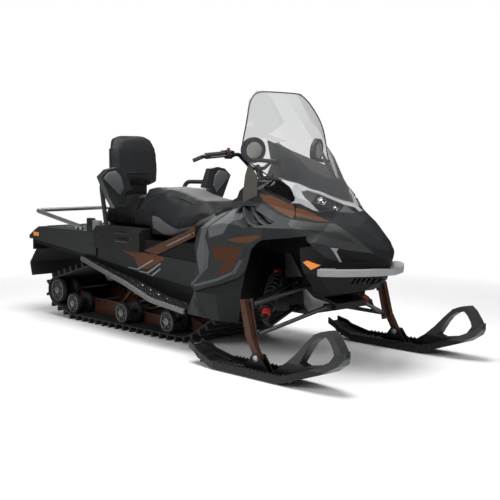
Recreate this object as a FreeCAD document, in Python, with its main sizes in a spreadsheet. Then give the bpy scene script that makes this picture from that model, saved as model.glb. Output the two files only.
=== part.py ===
"""A two-up utility snowmobile with two steered skis and one wide track.

The frame of the model has +X forward, +Y to the machine's left and +Z up. Its origin lies on the
snow, midway between the tail flap and the ski tips, in the machine's plane of symmetry.
All sizes are millimetres.
"""
import FreeCAD, Part
import math
import os

import Sketcher

Vector = FreeCAD.Vector
Rotation = FreeCAD.Rotation

# Driving sizes, in groups by the piece that each one belongs to.
DRIVING_SIZES = {
    # cuts and seats
    "overrun": 40,
    "pin_play": 0.3,
    # tunnel and rear end
    "tunnel_half_width": 325,
    "tunnel_wall": 4,
    "tunnel_top": 575,
    "tunnel_back": 1460,
    "tunnel_front": 560,
    "tunnel_tail_edge": 490,
    "board_back": 840,
    "board_back_height": 433,
    "board_knee_back": 280,
    "board_knee_height": 340,
    "board_dip_front": 20,
    "board_dip_height": 268,
    "board_toe_front": 318,
    "board_toe_height": 236,
    "board_back_half_width": 345,
    "board_knee_half_width": 425,
    "board_front_half_width": 452,
    "board_thickness": 4,
    "rail_width": 12,
    "rail_depth": 22,
    "rail_tooth_pitch": 26,
    "rail_tooth_height": 7,
    "board_slot_pitch": 80,
    "board_slot_length": 52,
    "board_slot_width": 16,
    # cargo deck and rack
    "deck_back": 1500,
    "deck_slope_back": 1390,
    "deck_slope_drop": 65,
    "deck_front": 700,
    "deck_thickness": 25,
    "deck_skirt_thickness": 9,
    "deck_skirt_depth": 120,
    "deck_slot_width": 22,
    "deck_slot_length": 130,
    "deck_slot_pitch": 62,
    "deck_bolt_diameter": 9,
    "deck_bolt_spread": 500,
    "deck_bolt_reach": 400,
    "deck_panel_rise": 4,
    "deck_panel_inset": 20,
    "rack_back": 1455,
    "rack_front": 905,
    "rack_half_width": 305,
    "rack_rise": 106,
    "rack_foot_rise": 22,
    "rack_tube_radius": 14,
    "rack_bend_radius": 45,
    "rack_post_back": 955,
    "flap_top": 440,
    "flap_thickness": 6,
    "flap_half_width": 300,
    "tail_reach": 1558,
    "tail_knee_height": 341,
    "flap_foot_back": 1535,
    "flap_foot_height": 252,
    "tail_plate_thickness": 10,
    "tail_lamp_half_width": 150,
    "tail_lamp_height": 38,
    "tail_lamp_inset": 2,
    "tail_lamp_depth": 18,
    "reflector_length": 62,
    "reflector_height": 26,
    "reflector_thickness": 4,
    "hitch_half_width": 32,
    "hitch_thickness": 12,
    "hitch_pin_diameter": 16,
    "hitch_pin_back": 1530,
    "hitch_end_back": 1556,
    # track and skid
    "track_width": 600,
    "belt_thickness": 7,
    "lug_height": 32,
    "lug_pitch": 73,
    "lug_thickness": 13,
    "idler_back": 1235,
    "idler_height": 175,
    "idler_radius": 82,
    "bogie_radius": 66,
    "bogie_rear_back": 1050,
    "bogie_mid_back": 505,
    "bogie_front_back": 55,
    "rail_nose_front": 60,
    "rail_nose_radius": 300,
    "sprocket_front": 420,
    "sprocket_height": 310,
    "sprocket_radius": 85,
    "carrier_back": 620,
    "carrier_height": 360,
    "wheel_width": 26,
    "wheel_hub_radius": 24,
    "wheel_rim_depth": 12,
    "wheel_web_thickness": 8,
    "wheel_edge_inset": 28,
    "axle_radius": 10,
    "skid_rail_spread": 145,
    "skid_rail_thickness": 12,
    "skid_rail_depth": 62,
    "skid_rail_front": 150,
    "skid_arm_radius": 13,
    "front_arm_mount_front": 130,
    "front_arm_mount_height": 330,
    "rear_arm_mount_back": 440,
    "rear_arm_mount_height": 392,
    "front_arm_foot_back": 150,
    "rear_arm_foot_back": 760,
    "skid_shock_radius": 24,
    # bodywork
    "bodywork_back": 320,
    "bodywork_length": 1052,
    "bodywork_half_width": 480,
    "bodywork_height": 965,
    "bodywork_wall": 5,
    "lamp_recess": 4,
    "panel_inner_half_width": 189,
    "panel_step": 3,
    "strip_rise": 3,
    "louver_depth": 25,
    "louver_fin_thickness": 8,
    "intake_depth": 3,
    "grille_bar_width": 6,
    "grille_bar_pitch": 16,
    "grille_half_width": 114,
    "grille_low": 425,
    "grille_high": 469,
    "bumper_low": 482,
    "bumper_depth": 32,
    "bumper_reach": 1394,
    "bumper_half_width": 322,
    "bumper_bar_width": 50,
    # windshield and cockpit
    "shield_top": 1414,
    "shield_half_width": 330,
    "shield_foot_front": 1145,
    "shield_wall": 5,
    "fairing_foot_front": 1105,
    "fairing_half_width": 245,
    "fairing_top": 1150,
    "console_half_width": 200,
    "console_back": 262,
    "console_front": 740,
    "console_top": 935,
    "gauge_width": 170,
    "gauge_height": 96,
    "gauge_depth": 34,
    "mirror_front": 640,
    "mirror_spread": 245,
    "mirror_height": 1100,
    "mirror_radius": 68,
    "mirror_frame_width": 17,
    "mirror_depth": 22,
    "mirror_toe_in": 18.8,
    "mirror_tilt": 7.1,
    "wing_thickness": 4,
    "wing_spread": 300,
    # front frame and engine
    "frame_half_width": 118,
    "frame_wall": 8,
    "frame_front": 1035,
    "frame_low": 244,
    "frame_nose_front": 1120,
    "frame_nose_low": 290,
    "frame_nose_high": 322,
    "frame_top": 572,
    "closeoff_thickness": 10,
    "engine_half_width": 230,
    "engine_back": 745,
    "engine_length": 270,
    "engine_height": 190,
    # front suspension and skis
    "ski_spread": 540,
    "kingpin_spread": 500,
    "kingpin_low_front": 930,
    "kingpin_low_height": 185,
    "kingpin_high_front": 893,
    "kingpin_high_height": 330,
    "kingpin_radius": 9,
    "eye_radius": 18,
    "eye_length": 36,
    "arm_tube_radius": 11,
    "arm_bush_radius": 15,
    "arm_bush_length": 44,
    "low_arm_front": 1075,
    "low_arm_front_height": 306,
    "low_arm_back": 830,
    "low_arm_back_height": 268,
    "high_arm_front": 1000,
    "high_arm_back": 850,
    "high_arm_height": 420,
    "shock_top_front": 722,
    "shock_top_height": 478,
    "shock_foot_front": 893,
    "shock_foot_spread": 405,
    "shock_foot_height": 262,
    "shock_body_radius": 17,
    "spring_radius": 34,
    "spring_wire_radius": 5.5,
    "spring_turns": 7,
    "spindle_blade_width": 44,
    "spindle_blade_thickness": 26,
    "ski_pivot_front": 990,
    "ski_pivot_height": 86,
    "ski_pivot_radius": 10,
    "ski_boss_radius": 24,
    "ski_tail_front": 513,
    "ski_tip_front": 1558,
    "ski_tip_height": 172,
    "ski_half_width": 85,
    "ski_sole_height": 8,
    "ski_plate_thickness": 12,
    "ski_wall_thickness": 11,
    "ski_wall_height": 24,
    "ski_loop_top": 286,
    "ski_loop_half_width": 27,
    "ski_ear_thickness": 9,
    "runner_width": 12,
    "runner_back": 760,
    "runner_front": 1215,
    # steering
    "column_front": 452,
    "column_height": 940,
    "column_radius": 17,
    "column_lean": 30,
    "gauge_lean": 30,
    "bar_clamp_front": 418,
    "bar_clamp_height": 1000,
    "bar_radius": 11,
    "bar_half_width": 385,
    "bar_bend_radius": 45,
    "grip_radius": 17,
    "grip_length": 125,
    "boot_radius": 40,
    # seats
    "seat_gap": 0.6,
    "seat_base_half_width": 350,
    "seat_base_back": 700,
    "seat_base_front": 225,
    "seat_base_low": 505,
    "seat_base_top": 640,
    "driver_seat_back": 415,
    "driver_seat_front": 235,
    "driver_seat_half_width": 290,
    "driver_seat_top": 885,
    "passenger_seat_back": 770,
    "passenger_seat_half_width": 250,
    "passenger_seat_top": 830,
    "backrest_front": 700,
    "backrest_half_width": 200,
    "backrest_low": 872,
    "backrest_top": 1228,
    "backrest_depth": 110,
    "backrest_post_spread": 100,
    "backrest_post_width": 36,
    "backrest_post_back": 810.3,
    "backrest_post_depth": 40,
    "guard_front": 372,
    "guard_spread": 400,
    "guard_half_width": 112,
    "guard_low": 762,
    "guard_top": 1004,
    "guard_depth": 46,
    "guard_wall": 6,
    "hand_bar_radius": 14,
    "hand_bar_back": 630,
    "hand_bar_height": 905,
    "hand_bar_foot_spread": 300,
    "hand_bar_knee_spread": 335,
    "hand_bar_bend_radius": 45,
    "hand_bar_flange_radius": 26,
    "hand_bar_flange_thickness": 8,
    "brace_thickness": 12,
    "cover_thickness": 5,
}

doc = FreeCAD.newDocument("Snowmobile")
sheet = doc.addObject("Spreadsheet::Sheet", "Sizes")
nodes = []


class Length:
    """A length and the sheet formula that works it out."""

    def __init__(self, value, formula):
        self.value = value
        self.formula = formula

    def __float__(self):
        return float(self.value)

    def joined(self, other, sign, value):
        """Return the length that a sum or a product of two lengths gives."""
        formula = other.formula if isinstance(other, Length) else repr(other)
        return Length(value, "(" + self.formula + sign + formula + ")")

    def __add__(self, other):
        return self.joined(other, " + ", self.value + float(other))

    def __sub__(self, other):
        return self.joined(other, " - ", self.value - float(other))

    def __mul__(self, share):
        return self.joined(share, " * ", self.value * float(share))

    def __neg__(self):
        return Length(-self.value, "(-" + self.formula + ")")


class Sizes:
    """The sheet's cells, each read as a Length by its own name."""

    def __getattr__(self, alias):
        return Length(float(sheet.get(alias)), "Sizes." + alias)


def fill_sheet():
    """Write every driving size into the sheet as plain text with its alias."""
    for row, (alias, value) in enumerate(DRIVING_SIZES.items(), start=1):
        sheet.set("A" + str(row), alias)
        sheet.set("B" + str(row), str(value))
        sheet.setAlias("B" + str(row), alias)
    doc.recompute()


fill_sheet()
S = Sizes()
ZERO = Length(0.0, "0")


def new_body(label):
    """Return an empty body with its own label."""
    body = doc.addObject("PartDesign::Body", label)
    body.Label = label
    return body


def origin_plane(body, role):
    """Return one of a body's own origin planes."""
    return next(item for item in body.Origin.OriginFeatures if item.Role == role)


def new_sketch(body, role, offset=ZERO):
    """Return a sketch on an origin plane, moved along the plane's normal."""
    sketch = body.newObject("Sketcher::SketchObject", "sketch")
    sketch.AttachmentSupport = [(origin_plane(body, role), "")]
    sketch.MapMode = "FlatFace"
    sketch.setExpression("AttachmentOffset.Base.z", offset.formula)
    return sketch


def draw_outline(sketch, points):
    """Draw a closed outline whose corners are bound to the sheet."""
    first = sketch.GeometryCount
    count = len(points)
    for index in range(count):
        start = points[index]
        end = points[(index + 1) % count]
        start_point = Vector(float(start[0]), float(start[1]), 0)
        end_point = Vector(float(end[0]), float(end[1]), 0)
        sketch.addGeometry(Part.LineSegment(start_point, end_point))
    for index in range(count):
        following = first + (index + 1) % count
        sketch.addConstraint(Sketcher.Constraint("Coincident", first + index, 2, following, 1))
    for index, (across, up) in enumerate(points):
        for kind, length in (("DistanceX", across), ("DistanceY", up)):
            rule = Sketcher.Constraint(kind, -1, 1, first + index, 1, float(length))
            number = sketch.addConstraint(rule)
            sketch.setExpression("Constraints[" + str(number) + "]", length.formula)


def draw_circle(sketch, centre, radius):
    """Draw a circle whose centre and radius are bound to the sheet."""
    middle = Vector(float(centre[0]), float(centre[1]), 0)
    item = sketch.addGeometry(Part.Circle(middle, Vector(0, 0, 1), float(radius)))
    rules = (
        (Sketcher.Constraint("DistanceX", -1, 1, item, 3, float(centre[0])), centre[0]),
        (Sketcher.Constraint("DistanceY", -1, 1, item, 3, float(centre[1])), centre[1]),
        (Sketcher.Constraint("Radius", item, float(radius)), radius),
    )
    for rule, length in rules:
        number = sketch.addConstraint(rule)
        sketch.setExpression("Constraints[" + str(number) + "]", length.formula)


def add_pad(body, sketch, length, both_ways=False):
    """Pad a sketch by a bound length."""
    pad = body.newObject("PartDesign::Pad", "pad")
    pad.Profile = sketch
    pad.setExpression("Length", length.formula)
    if both_ways:
        pad.SideType = "Symmetric"
    doc.recompute()
    return pad


def add_pocket(body, sketch, length, both_ways=False):
    """Cut a sketch out of the body, and check that the cut takes material away."""
    before = body.Shape.Volume
    pocket = body.newObject("PartDesign::Pocket", "pocket")
    pocket.Profile = sketch
    pocket.setExpression("Length", length.formula)
    if both_ways:
        pocket.SideType = "Symmetric"
    doc.recompute()
    if body.Shape.Volume >= before:
        raise RuntimeError("a pocket in " + body.Label + " cuts nothing")
    return pocket


def plate(label, role, points, start, thickness):
    """Return a body: an outline padded from a start distance along its plane's normal."""
    body = new_body(label)
    sketch = new_sketch(body, role, start)
    draw_outline(sketch, points)
    add_pad(body, sketch, thickness)
    return body


def wide_plate(label, role, points, width):
    """Return a body: an outline padded equally to both sides of its plane."""
    body = new_body(label)
    sketch = new_sketch(body, role)
    draw_outline(sketch, points)
    add_pad(body, sketch, width, both_ways=True)
    return body


def keep(item):
    """Note that an object of the document is one of the finished pieces."""
    nodes.append(item)
    return item


def feature(label, shape):
    """Return a finished piece that holds a shape made by the functions of this file."""
    item = doc.addObject("Part::Feature", label)
    item.Label = label
    item.Shape = shape
    return keep(item)


def mirrored(label, source):
    """Return the left twin of a right-hand piece."""
    twin = doc.addObject("Part::Mirroring", label)
    twin.Label = label
    twin.Source = source
    twin.Normal = (0, 1, 0)
    doc.recompute()
    return keep(twin)


def pair(name, right_shape):
    """Add a right-hand piece and its left twin."""
    right = feature(name + "_right", right_shape)
    return right, mirrored(name + "_left", right)


def across(shape):
    """Return the left twin of a right-hand shape."""
    return shape.mirror(Vector(0, 0, 0), Vector(0, 1, 0))


def twins(name, right_shapes):
    """Add one piece that holds right-hand shapes and their left twins."""
    solids = []
    for shape in right_shapes:
        solids.extend([shape, across(shape)])
    return feature(name, Part.makeCompound(solids))


def point(front, left, up):
    """Return a point from three lengths."""
    return Vector(float(front), float(left), float(up))


def prism(points, role, start, end):
    """Return a solid: a flat outline pushed along its plane's normal, from start to end."""
    makers = {
        "XZ": lambda across, up, depth: Vector(across, depth, up),
        "XY": lambda across, up, depth: Vector(across, up, depth),
        "YZ": lambda across, up, depth: Vector(depth, across, up),
    }
    corners = [makers[role](float(across), float(up), float(start)) for across, up in points]
    face = Part.Face(Part.makePolygon(corners + corners[:1]))
    return face.extrude(makers[role](0, 0, float(end) - float(start)))


def scaled(shares, across, up):
    """Return outline points from a table of shares and the two sizes that they follow."""
    return [(float(across) * first, float(up) * second) for first, second in shares]


def rounded_path(corners, radius):
    """Return a wire through corners, with an arc of one radius at each inner corner."""
    edges = []
    start = corners[0]
    for index in range(1, len(corners) - 1):
        corner = corners[index]
        back = (corners[index - 1] - corner).normalize()
        ahead = (corners[index + 1] - corner).normalize()
        half_turn = math.acos(max(-1.0, min(1.0, back.dot(ahead)))) / 2
        cut = float(radius) / math.tan(half_turn)
        arc_start = corner + back * cut
        arc_end = corner + ahead * cut
        middle_line = (back + ahead).normalize()
        depth = float(radius) / math.sin(half_turn) - float(radius)
        arc_middle = corner + middle_line * depth
        edges.append(Part.LineSegment(start, arc_start).toShape())
        edges.append(Part.Arc(arc_start, arc_middle, arc_end).toShape())
        start = arc_end
    edges.append(Part.LineSegment(start, corners[-1]).toShape())
    return Part.Wire(edges)


def round_tube(corners, radius, bend):
    """Return a round bar that follows corners with bends of one radius."""
    path = rounded_path(corners, bend)
    circle = Part.Circle(corners[0], corners[1] - corners[0], float(radius))
    return path.makePipeShell([Part.Wire(circle.toShape())], True, False)


def rod(start, end, radius):
    """Return a round bar from one point to another."""
    along = end - start
    return Part.makeCylinder(float(radius), along.Length, start, along)


def cross_rod(front, up, half_width, radius):
    """Return a round bar that lies across the machine."""
    return rod(point(front, -half_width, up), point(front, half_width, up), radius)


def fused(shapes):
    """Return one solid out of several that overlap."""
    return shapes[0].multiFuse(list(shapes[1:])).removeSplitter()


def ruled_loft(rings):
    """Return a solid through closed rings of points, with flat or ruled sides."""
    wires = [Part.makePolygon(list(ring) + [ring[0]]) for ring in rings]
    return Part.makeLoft(wires, True, True)


def inset(ring, wall):
    """Return a closed flat ring of (across, up) points moved inwards by a wall."""
    count = len(ring)
    area = sum(ring[i][0] * ring[(i + 1) % count][1] - ring[(i + 1) % count][0] * ring[i][1]
               for i in range(count))
    turn = 1 if area > 0 else -1
    moved = []
    for index in range(count):
        before = ring[index - 1]
        here = ring[index]
        after = ring[(index + 1) % count]
        normals = []
        for first, second in ((before, here), (here, after)):
            across = second[0] - first[0]
            up = second[1] - first[1]
            length = math.hypot(across, up)
            normals.append((-up / length * turn, across / length * turn))
        total = (normals[0][0] + normals[1][0], normals[0][1] + normals[1][1])
        spread = 1 + normals[0][0] * normals[1][0] + normals[0][1] * normals[1][1]
        moved.append((here[0] + total[0] / spread * wall, here[1] + total[1] / spread * wall))
    return moved


# Tunnel, boards and rear end

def lower_edge(drop=ZERO):
    """Return the line that the tunnel's lower edge and the boards share, back to front."""
    return [
        (-S.board_back, S.board_back_height - drop),
        (-S.board_knee_back, S.board_knee_height - drop),
        (S.board_dip_front, S.board_dip_height - drop),
        (S.board_toe_front, S.board_toe_height - drop),
    ]


def make_tunnel():
    """The folded sheet channel that carries the seat and covers the track."""
    body = new_body("tunnel")
    half = S.tunnel_half_width
    inner = S.tunnel_half_width - S.tunnel_wall
    section = new_sketch(body, "YZ_Plane", -S.tunnel_back)
    draw_outline(section, [
        (-half, ZERO), (-half, S.tunnel_top), (half, S.tunnel_top), (half, ZERO),
        (inner, ZERO), (inner, S.tunnel_top - S.tunnel_wall),
        (-inner, S.tunnel_top - S.tunnel_wall), (-inner, ZERO),
    ])
    add_pad(body, section, S.tunnel_back + S.tunnel_front)
    under = new_sketch(body, "XZ_Plane")
    draw_outline(under, [
        (-S.tunnel_back - S.overrun, -S.overrun),
        (-S.tunnel_back - S.overrun, S.tunnel_tail_edge),
        (-S.tunnel_back, S.tunnel_tail_edge),
        *lower_edge(),
        (S.tunnel_front + S.overrun, S.board_toe_height),
        (S.tunnel_front + S.overrun, -S.overrun),
    ])
    add_pocket(body, under, (half + S.overrun) * 2, both_ways=True)
    slope = new_sketch(body, "XZ_Plane")
    draw_outline(slope, above_tail_slope(S.deck_thickness))
    add_pocket(body, slope, (half + S.overrun) * 2, both_ways=True)
    keep(body)


def above_tail_slope(drop):
    """Return the side view of the room above the deck's sloping tail, lowered by a drop."""
    top = S.tunnel_top + S.deck_thickness
    return [
        (-S.deck_slope_back, top - drop),
        (-S.deck_slope_back, top + S.overrun),
        (-S.deck_back - S.overrun, top + S.overrun),
        (-S.deck_back - S.overrun, top - drop - S.deck_slope_drop),
        (-S.deck_back, top - drop - S.deck_slope_drop),
    ]


def board_edge(widening=ZERO):
    """Return the boards' outer edge in plan, back to front, on the right-hand side."""
    return [
        (-S.board_back, -S.board_back_half_width - widening),
        (-S.board_knee_back, -S.board_knee_half_width - widening),
        (S.board_dip_front, -S.board_front_half_width - widening),
        (S.board_toe_front, -S.board_front_half_width - widening),
    ]


def board_strip(top_gap, bottom_gap):
    """Return the side view of a strip along the boards between two drops."""
    return lower_edge(top_gap) + list(reversed(lower_edge(bottom_gap)))


def make_running_boards():
    """The foot boards with their grip slots, and the toothed rails on their outer edges."""
    reach = -S.board_front_half_width - S.overrun
    side = -S.tunnel_half_width
    sheet_side = prism(board_strip(ZERO, S.board_thickness), "XZ", side, reach)
    plan = board_edge() + [(S.board_toe_front, side), (-S.board_back, side)]
    board = sheet_side.common(prism(plan, "XY", -S.overrun, S.tunnel_top))
    slots = []
    travel = float(S.board_back + S.board_toe_front)
    count = int(travel / float(S.board_slot_pitch))
    for index in range(1, count):
        front = -float(S.board_back) + index * float(S.board_slot_pitch)
        width = board_width_at(front) - float(S.tunnel_half_width)
        rows = max(1, int(width / float(S.board_slot_length)))
        for row in range(rows):
            left = -float(S.tunnel_half_width) - width * (row + 1) / (rows + 1)
            slots.append(Part.makeBox(
                float(S.board_slot_length), float(S.board_slot_width), float(S.tunnel_top),
                Vector(front - float(S.board_slot_length) / 2,
                       left - float(S.board_slot_width) / 2, 0)))
    board = board.cut(slots)
    twins("running_boards", [board])
    teeth = toothed_edge()
    rail_side = prism(teeth + list(reversed(lower_edge(S.rail_depth))), "XZ", side, reach)
    band = board_edge() + list(reversed(board_edge(S.rail_width)))
    rail = rail_side.common(prism(band, "XY", -S.overrun, S.tunnel_top))
    twins("board_rails", [rail])


def board_width_at(front):
    """Return the half width of the boards at a place along the machine."""
    corners = [(float(x), -float(y)) for x, y in board_edge()]
    for (x0, y0), (x1, y1) in zip(corners, corners[1:]):
        if x0 <= front <= x1:
            return y0 + (y1 - y0) * (front - x0) / (x1 - x0)
    return corners[-1][1]


def toothed_edge():
    """Return the rail's upper edge in side view, with a tooth at each pitch."""
    corners = [(float(x), float(z)) for x, z in lower_edge()]
    pitch = float(S.rail_tooth_pitch)
    height = float(S.rail_tooth_height)
    edge = []
    for (x0, z0), (x1, z1) in zip(corners, corners[1:]):
        count = int((x1 - x0) / pitch)
        for index in range(count):
            start_share = index / count
            peak_share = (index + 0.5) / count
            edge.append((x0 + (x1 - x0) * start_share, z0 + (z1 - z0) * start_share))
            edge.append((x0 + (x1 - x0) * peak_share, z0 + (z1 - z0) * peak_share + height))
    edge.append(corners[-1])
    return edge


def make_tunnel_covers():
    """The dark side covers between the deck and the foot wells, and their braces."""
    start = S.tunnel_half_width
    cover = plate("tunnel_cover_form", "XZ_Plane", [
        (-S.seat_base_back + S.board_slot_width, S.seat_base_low - S.seat_gap),
        (-S.seat_base_back + S.board_slot_width, S.board_back_height + S.rail_width * 0.5),
        (-S.board_knee_back, S.board_knee_height + S.deck_bolt_diameter * 5),
        (S.board_toe_front - S.wheel_width, S.board_toe_height + S.deck_thickness * 4),
        (S.board_toe_front - S.wheel_width, S.seat_base_low - S.deck_thickness),
        (-S.seat_base_front, S.seat_base_low - S.seat_gap),
    ], start, S.cover_thickness)
    twins("tunnel_covers", [cover.Shape.copy()])


def make_braces():
    """The diagonal braces that run up beside the driver's seat."""
    start = S.tunnel_half_width
    brace = plate("seat_brace_form", "XZ_Plane", [
        (-S.board_knee_back * 0.7, S.seat_base_low + S.rail_width),
        (-S.board_knee_back * 0.3, S.seat_base_low - S.rail_width * 0.5),
        (S.board_toe_front * 0.85, S.seat_base_top - S.rail_width),
        (S.board_toe_front * 0.85, S.seat_base_top + S.deck_thickness * 2),
        (S.board_toe_front * 0.62, S.seat_base_top + S.rail_width),
    ], start, S.brace_thickness)
    twins("seat_braces", [brace.Shape.copy()])


def make_deck():
    """The slotted cargo deck, which wraps over the tunnel's shoulders."""
    body = new_body("cargo_deck")
    half = S.tunnel_half_width + S.deck_skirt_thickness
    top = S.tunnel_top + S.deck_thickness
    skirt = S.tunnel_top - S.deck_skirt_depth
    section = new_sketch(body, "YZ_Plane", -S.deck_back)
    draw_outline(section, [
        (-half, skirt), (-half, S.tunnel_top), (-S.tunnel_half_width, top),
        (S.tunnel_half_width, top), (half, S.tunnel_top), (half, skirt),
        (S.tunnel_half_width, skirt), (S.tunnel_half_width, S.tunnel_top),
        (-S.tunnel_half_width, S.tunnel_top), (-S.tunnel_half_width, skirt),
    ])
    add_pad(body, section, S.deck_back - S.deck_front)
    under = new_sketch(body, "XZ_Plane")
    draw_outline(under, [
        (-S.deck_back - S.overrun, skirt - S.overrun),
        (-S.deck_back - S.overrun, S.tunnel_tail_edge + S.deck_thickness),
        (-S.tunnel_back, S.tunnel_tail_edge + S.deck_thickness),
        (-S.board_back, skirt),
        (-S.deck_front + S.overrun, skirt - S.deck_thickness),
        (-S.deck_front + S.overrun, skirt - S.overrun),
    ])
    add_pocket(body, under, (half + S.overrun) * 2, both_ways=True)
    slope = new_sketch(body, "XZ_Plane")
    draw_outline(slope, above_tail_slope(ZERO))
    add_pocket(body, slope, (half + S.overrun) * 2, both_ways=True)
    sheet = new_sketch(body, "XZ_Plane")
    draw_outline(sheet, [
        (-S.deck_slope_back, top), (-S.deck_slope_back, top - S.deck_thickness),
        (-S.deck_back, top - S.deck_thickness - S.deck_slope_drop),
        (-S.deck_back, top - S.deck_slope_drop),
    ])
    add_pad(body, sheet, S.tunnel_half_width * 2, both_ways=True)
    panel_half = S.rack_half_width - S.rack_tube_radius - S.deck_panel_inset
    panel_back = S.deck_slope_back - S.deck_panel_inset
    panel_front = S.rack_front + S.rack_tube_radius + S.deck_panel_inset
    panel = new_sketch(body, "XY_Plane", top)
    draw_outline(panel, [
        (-panel_back, -panel_half), (-panel_front, -panel_half),
        (-panel_front, panel_half), (-panel_back, panel_half),
    ])
    add_pad(body, panel, S.deck_panel_rise)
    slots = new_sketch(body, "XY_Plane", top + S.overrun)
    rows = 2
    columns = 4
    for row in range(rows):
        back = -panel_back + S.deck_panel_inset + (S.deck_slot_length + S.deck_slot_pitch) * row
        for column in range(-columns, columns):
            right = S.deck_slot_pitch * column + (S.deck_slot_pitch - S.deck_slot_width) * 0.5
            draw_outline(slots, [
                (back, right), (back + S.deck_slot_length, right),
                (back + S.deck_slot_length, right + S.deck_slot_width),
                (back, right + S.deck_slot_width),
            ])
    add_pocket(body, slots, S.overrun + S.deck_thickness)
    holes = new_sketch(body, "XY_Plane", top + S.overrun)
    middle = -(panel_back + panel_front) * 0.5
    for front_sign in (-0.5, 0.5):
        for left_sign in (-0.5, 0.5):
            draw_circle(holes, (middle + S.deck_bolt_reach * front_sign,
                                S.deck_bolt_spread * left_sign), S.deck_bolt_diameter * 0.5)
    add_pocket(body, holes, S.overrun + S.deck_thickness)
    keep(body)


def make_rack():
    """The rear rack: one bent rail round the deck, on two short posts."""
    top = S.tunnel_top + S.deck_thickness
    foot_up = top + S.rack_foot_rise
    corners = [
        point(-S.rack_front, -S.rack_half_width, foot_up),
        point(-S.rack_back, -S.rack_half_width, top + S.rack_rise),
        point(-S.rack_back, S.rack_half_width, top + S.rack_rise),
        point(-S.rack_front, S.rack_half_width, foot_up),
    ]
    rail = round_tube(corners, S.rack_tube_radius, S.rack_bend_radius)
    posts = []
    for side in (-1, 1):
        left = S.rack_half_width * side
        posts.append(rod(point(-S.rack_post_back, left, top),
                         point(-S.rack_post_back, left, foot_up + S.rack_tube_radius),
                         S.rack_tube_radius))
        posts.append(rod(point(-S.rack_front, left, top),
                         point(-S.rack_front, left, foot_up), S.rack_tube_radius))
    feature("rear_rack", fused([rail] + posts))


def make_tail():
    """The tail plate, the snow flap, the tow hitch, the tail lamp and the side reflectors."""
    plate_back = -S.tunnel_back - S.tail_plate_thickness
    tail_plate = plate("tail_plate_form", "YZ_Plane", [
        (-S.tunnel_half_width, S.flap_top), (S.tunnel_half_width, S.flap_top),
        (S.tunnel_half_width, S.tunnel_top), (-S.tunnel_half_width, S.tunnel_top),
    ], plate_back, S.tail_plate_thickness)
    outer = [
        (plate_back, S.flap_top), (-S.tail_reach, S.tail_knee_height),
        (-S.flap_foot_back, S.flap_foot_height),
    ]
    inner = [(front + S.flap_thickness, up) for front, up in outer]
    flap = wide_plate("snow_flap", "XZ_Plane", outer + list(reversed(inner)),
                      S.flap_half_width * 2)
    keep(flap)
    hitch = plate("hitch_form", "XY_Plane", [
        (plate_back, -S.hitch_half_width), (-S.hitch_end_back, -S.hitch_half_width * 0.6),
        (-S.hitch_end_back, S.hitch_half_width * 0.6), (plate_back, S.hitch_half_width),
    ], S.flap_top + S.hitch_thickness, S.hitch_thickness)
    bore = new_sketch(hitch, "XY_Plane", S.flap_top + S.overrun * 2)
    draw_circle(bore, (-S.hitch_pin_back, ZERO), S.hitch_pin_diameter * 0.5)
    add_pocket(hitch, bore, S.overrun * 2)
    half = S.tunnel_half_width + S.overrun
    above = prism(above_tail_slope(S.deck_thickness), "XZ", -half, half)
    feature("tail_plate", fused([tail_plate.Shape.cut(above), hitch.Shape.copy()]))
    lamp_back = -S.deck_back - S.tail_lamp_depth
    lamp_top = S.tunnel_top + S.deck_thickness - S.deck_slope_drop - S.tail_lamp_inset
    lamp_low = lamp_top - S.tail_lamp_height
    lamp = plate("tail_lamp_form", "YZ_Plane", [
        (-S.tail_lamp_half_width, lamp_low), (S.tail_lamp_half_width, lamp_low),
        (S.tail_lamp_half_width, lamp_top), (-S.tail_lamp_half_width, lamp_top),
    ], lamp_back, S.tail_lamp_depth)
    reflector = make_reflector()
    lamps = [lamp.Shape.copy(), reflector, across(reflector)]
    feature("rear_lamps", Part.makeCompound(lamps))


# Track and skid

def track_circles():
    """Return the circles that the belt wraps, in order, as (front, up, radius)."""
    belt_floor = S.lug_height + S.belt_thickness
    return [
        (-float(S.idler_back), float(S.idler_height), float(S.idler_radius)),
        (-float(S.bogie_rear_back), float(belt_floor + S.bogie_radius), float(S.bogie_radius)),
        (float(S.rail_nose_front), float(belt_floor + S.rail_nose_radius),
         float(S.rail_nose_radius)),
        (float(S.sprocket_front), float(S.sprocket_height), float(S.sprocket_radius)),
        (-float(S.carrier_back), float(S.carrier_height), float(S.bogie_radius)),
    ]


def outer_tangent(first, second):
    """Return the two points where a belt leaves one circle and meets the next."""
    across = second[0] - first[0]
    up = second[1] - first[1]
    span = math.hypot(across, up)
    heading = math.atan2(up, across)
    lean = math.asin((first[2] - second[2]) / span)
    angle = heading - math.pi / 2 + lean
    outward = (math.cos(angle), math.sin(angle))
    leave = (first[0] + outward[0] * first[2], first[1] + outward[1] * first[2])
    meet = (second[0] + outward[0] * second[2], second[1] + outward[1] * second[2])
    return leave, meet, angle


def belt_wire(circles, offset):
    """Return the closed wire that runs round the circles, moved outwards by an offset."""
    rings = [(front, up, radius + offset) for front, up, radius in circles]
    spans = [outer_tangent(ring, rings[(index + 1) % len(rings)])
             for index, ring in enumerate(rings)]
    edges = []
    for index, ring in enumerate(rings):
        leave, meet, angle = spans[index]
        arrived = spans[index - 1]
        start_angle = arrived[2]
        end_angle = angle
        while end_angle < start_angle:
            end_angle += 2 * math.pi
        middle = (start_angle + end_angle) / 2
        arc_middle = Vector(ring[0] + ring[2] * math.cos(middle), 0,
                            ring[1] + ring[2] * math.sin(middle))
        arc_start = Vector(arrived[1][0], 0, arrived[1][1])
        arc_end = Vector(leave[0], 0, leave[1])
        edges.append(Part.Arc(arc_start, arc_middle, arc_end).toShape())
        edges.append(Part.LineSegment(arc_end, Vector(meet[0], 0, meet[1])).toShape())
    return Part.Wire(edges)


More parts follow.
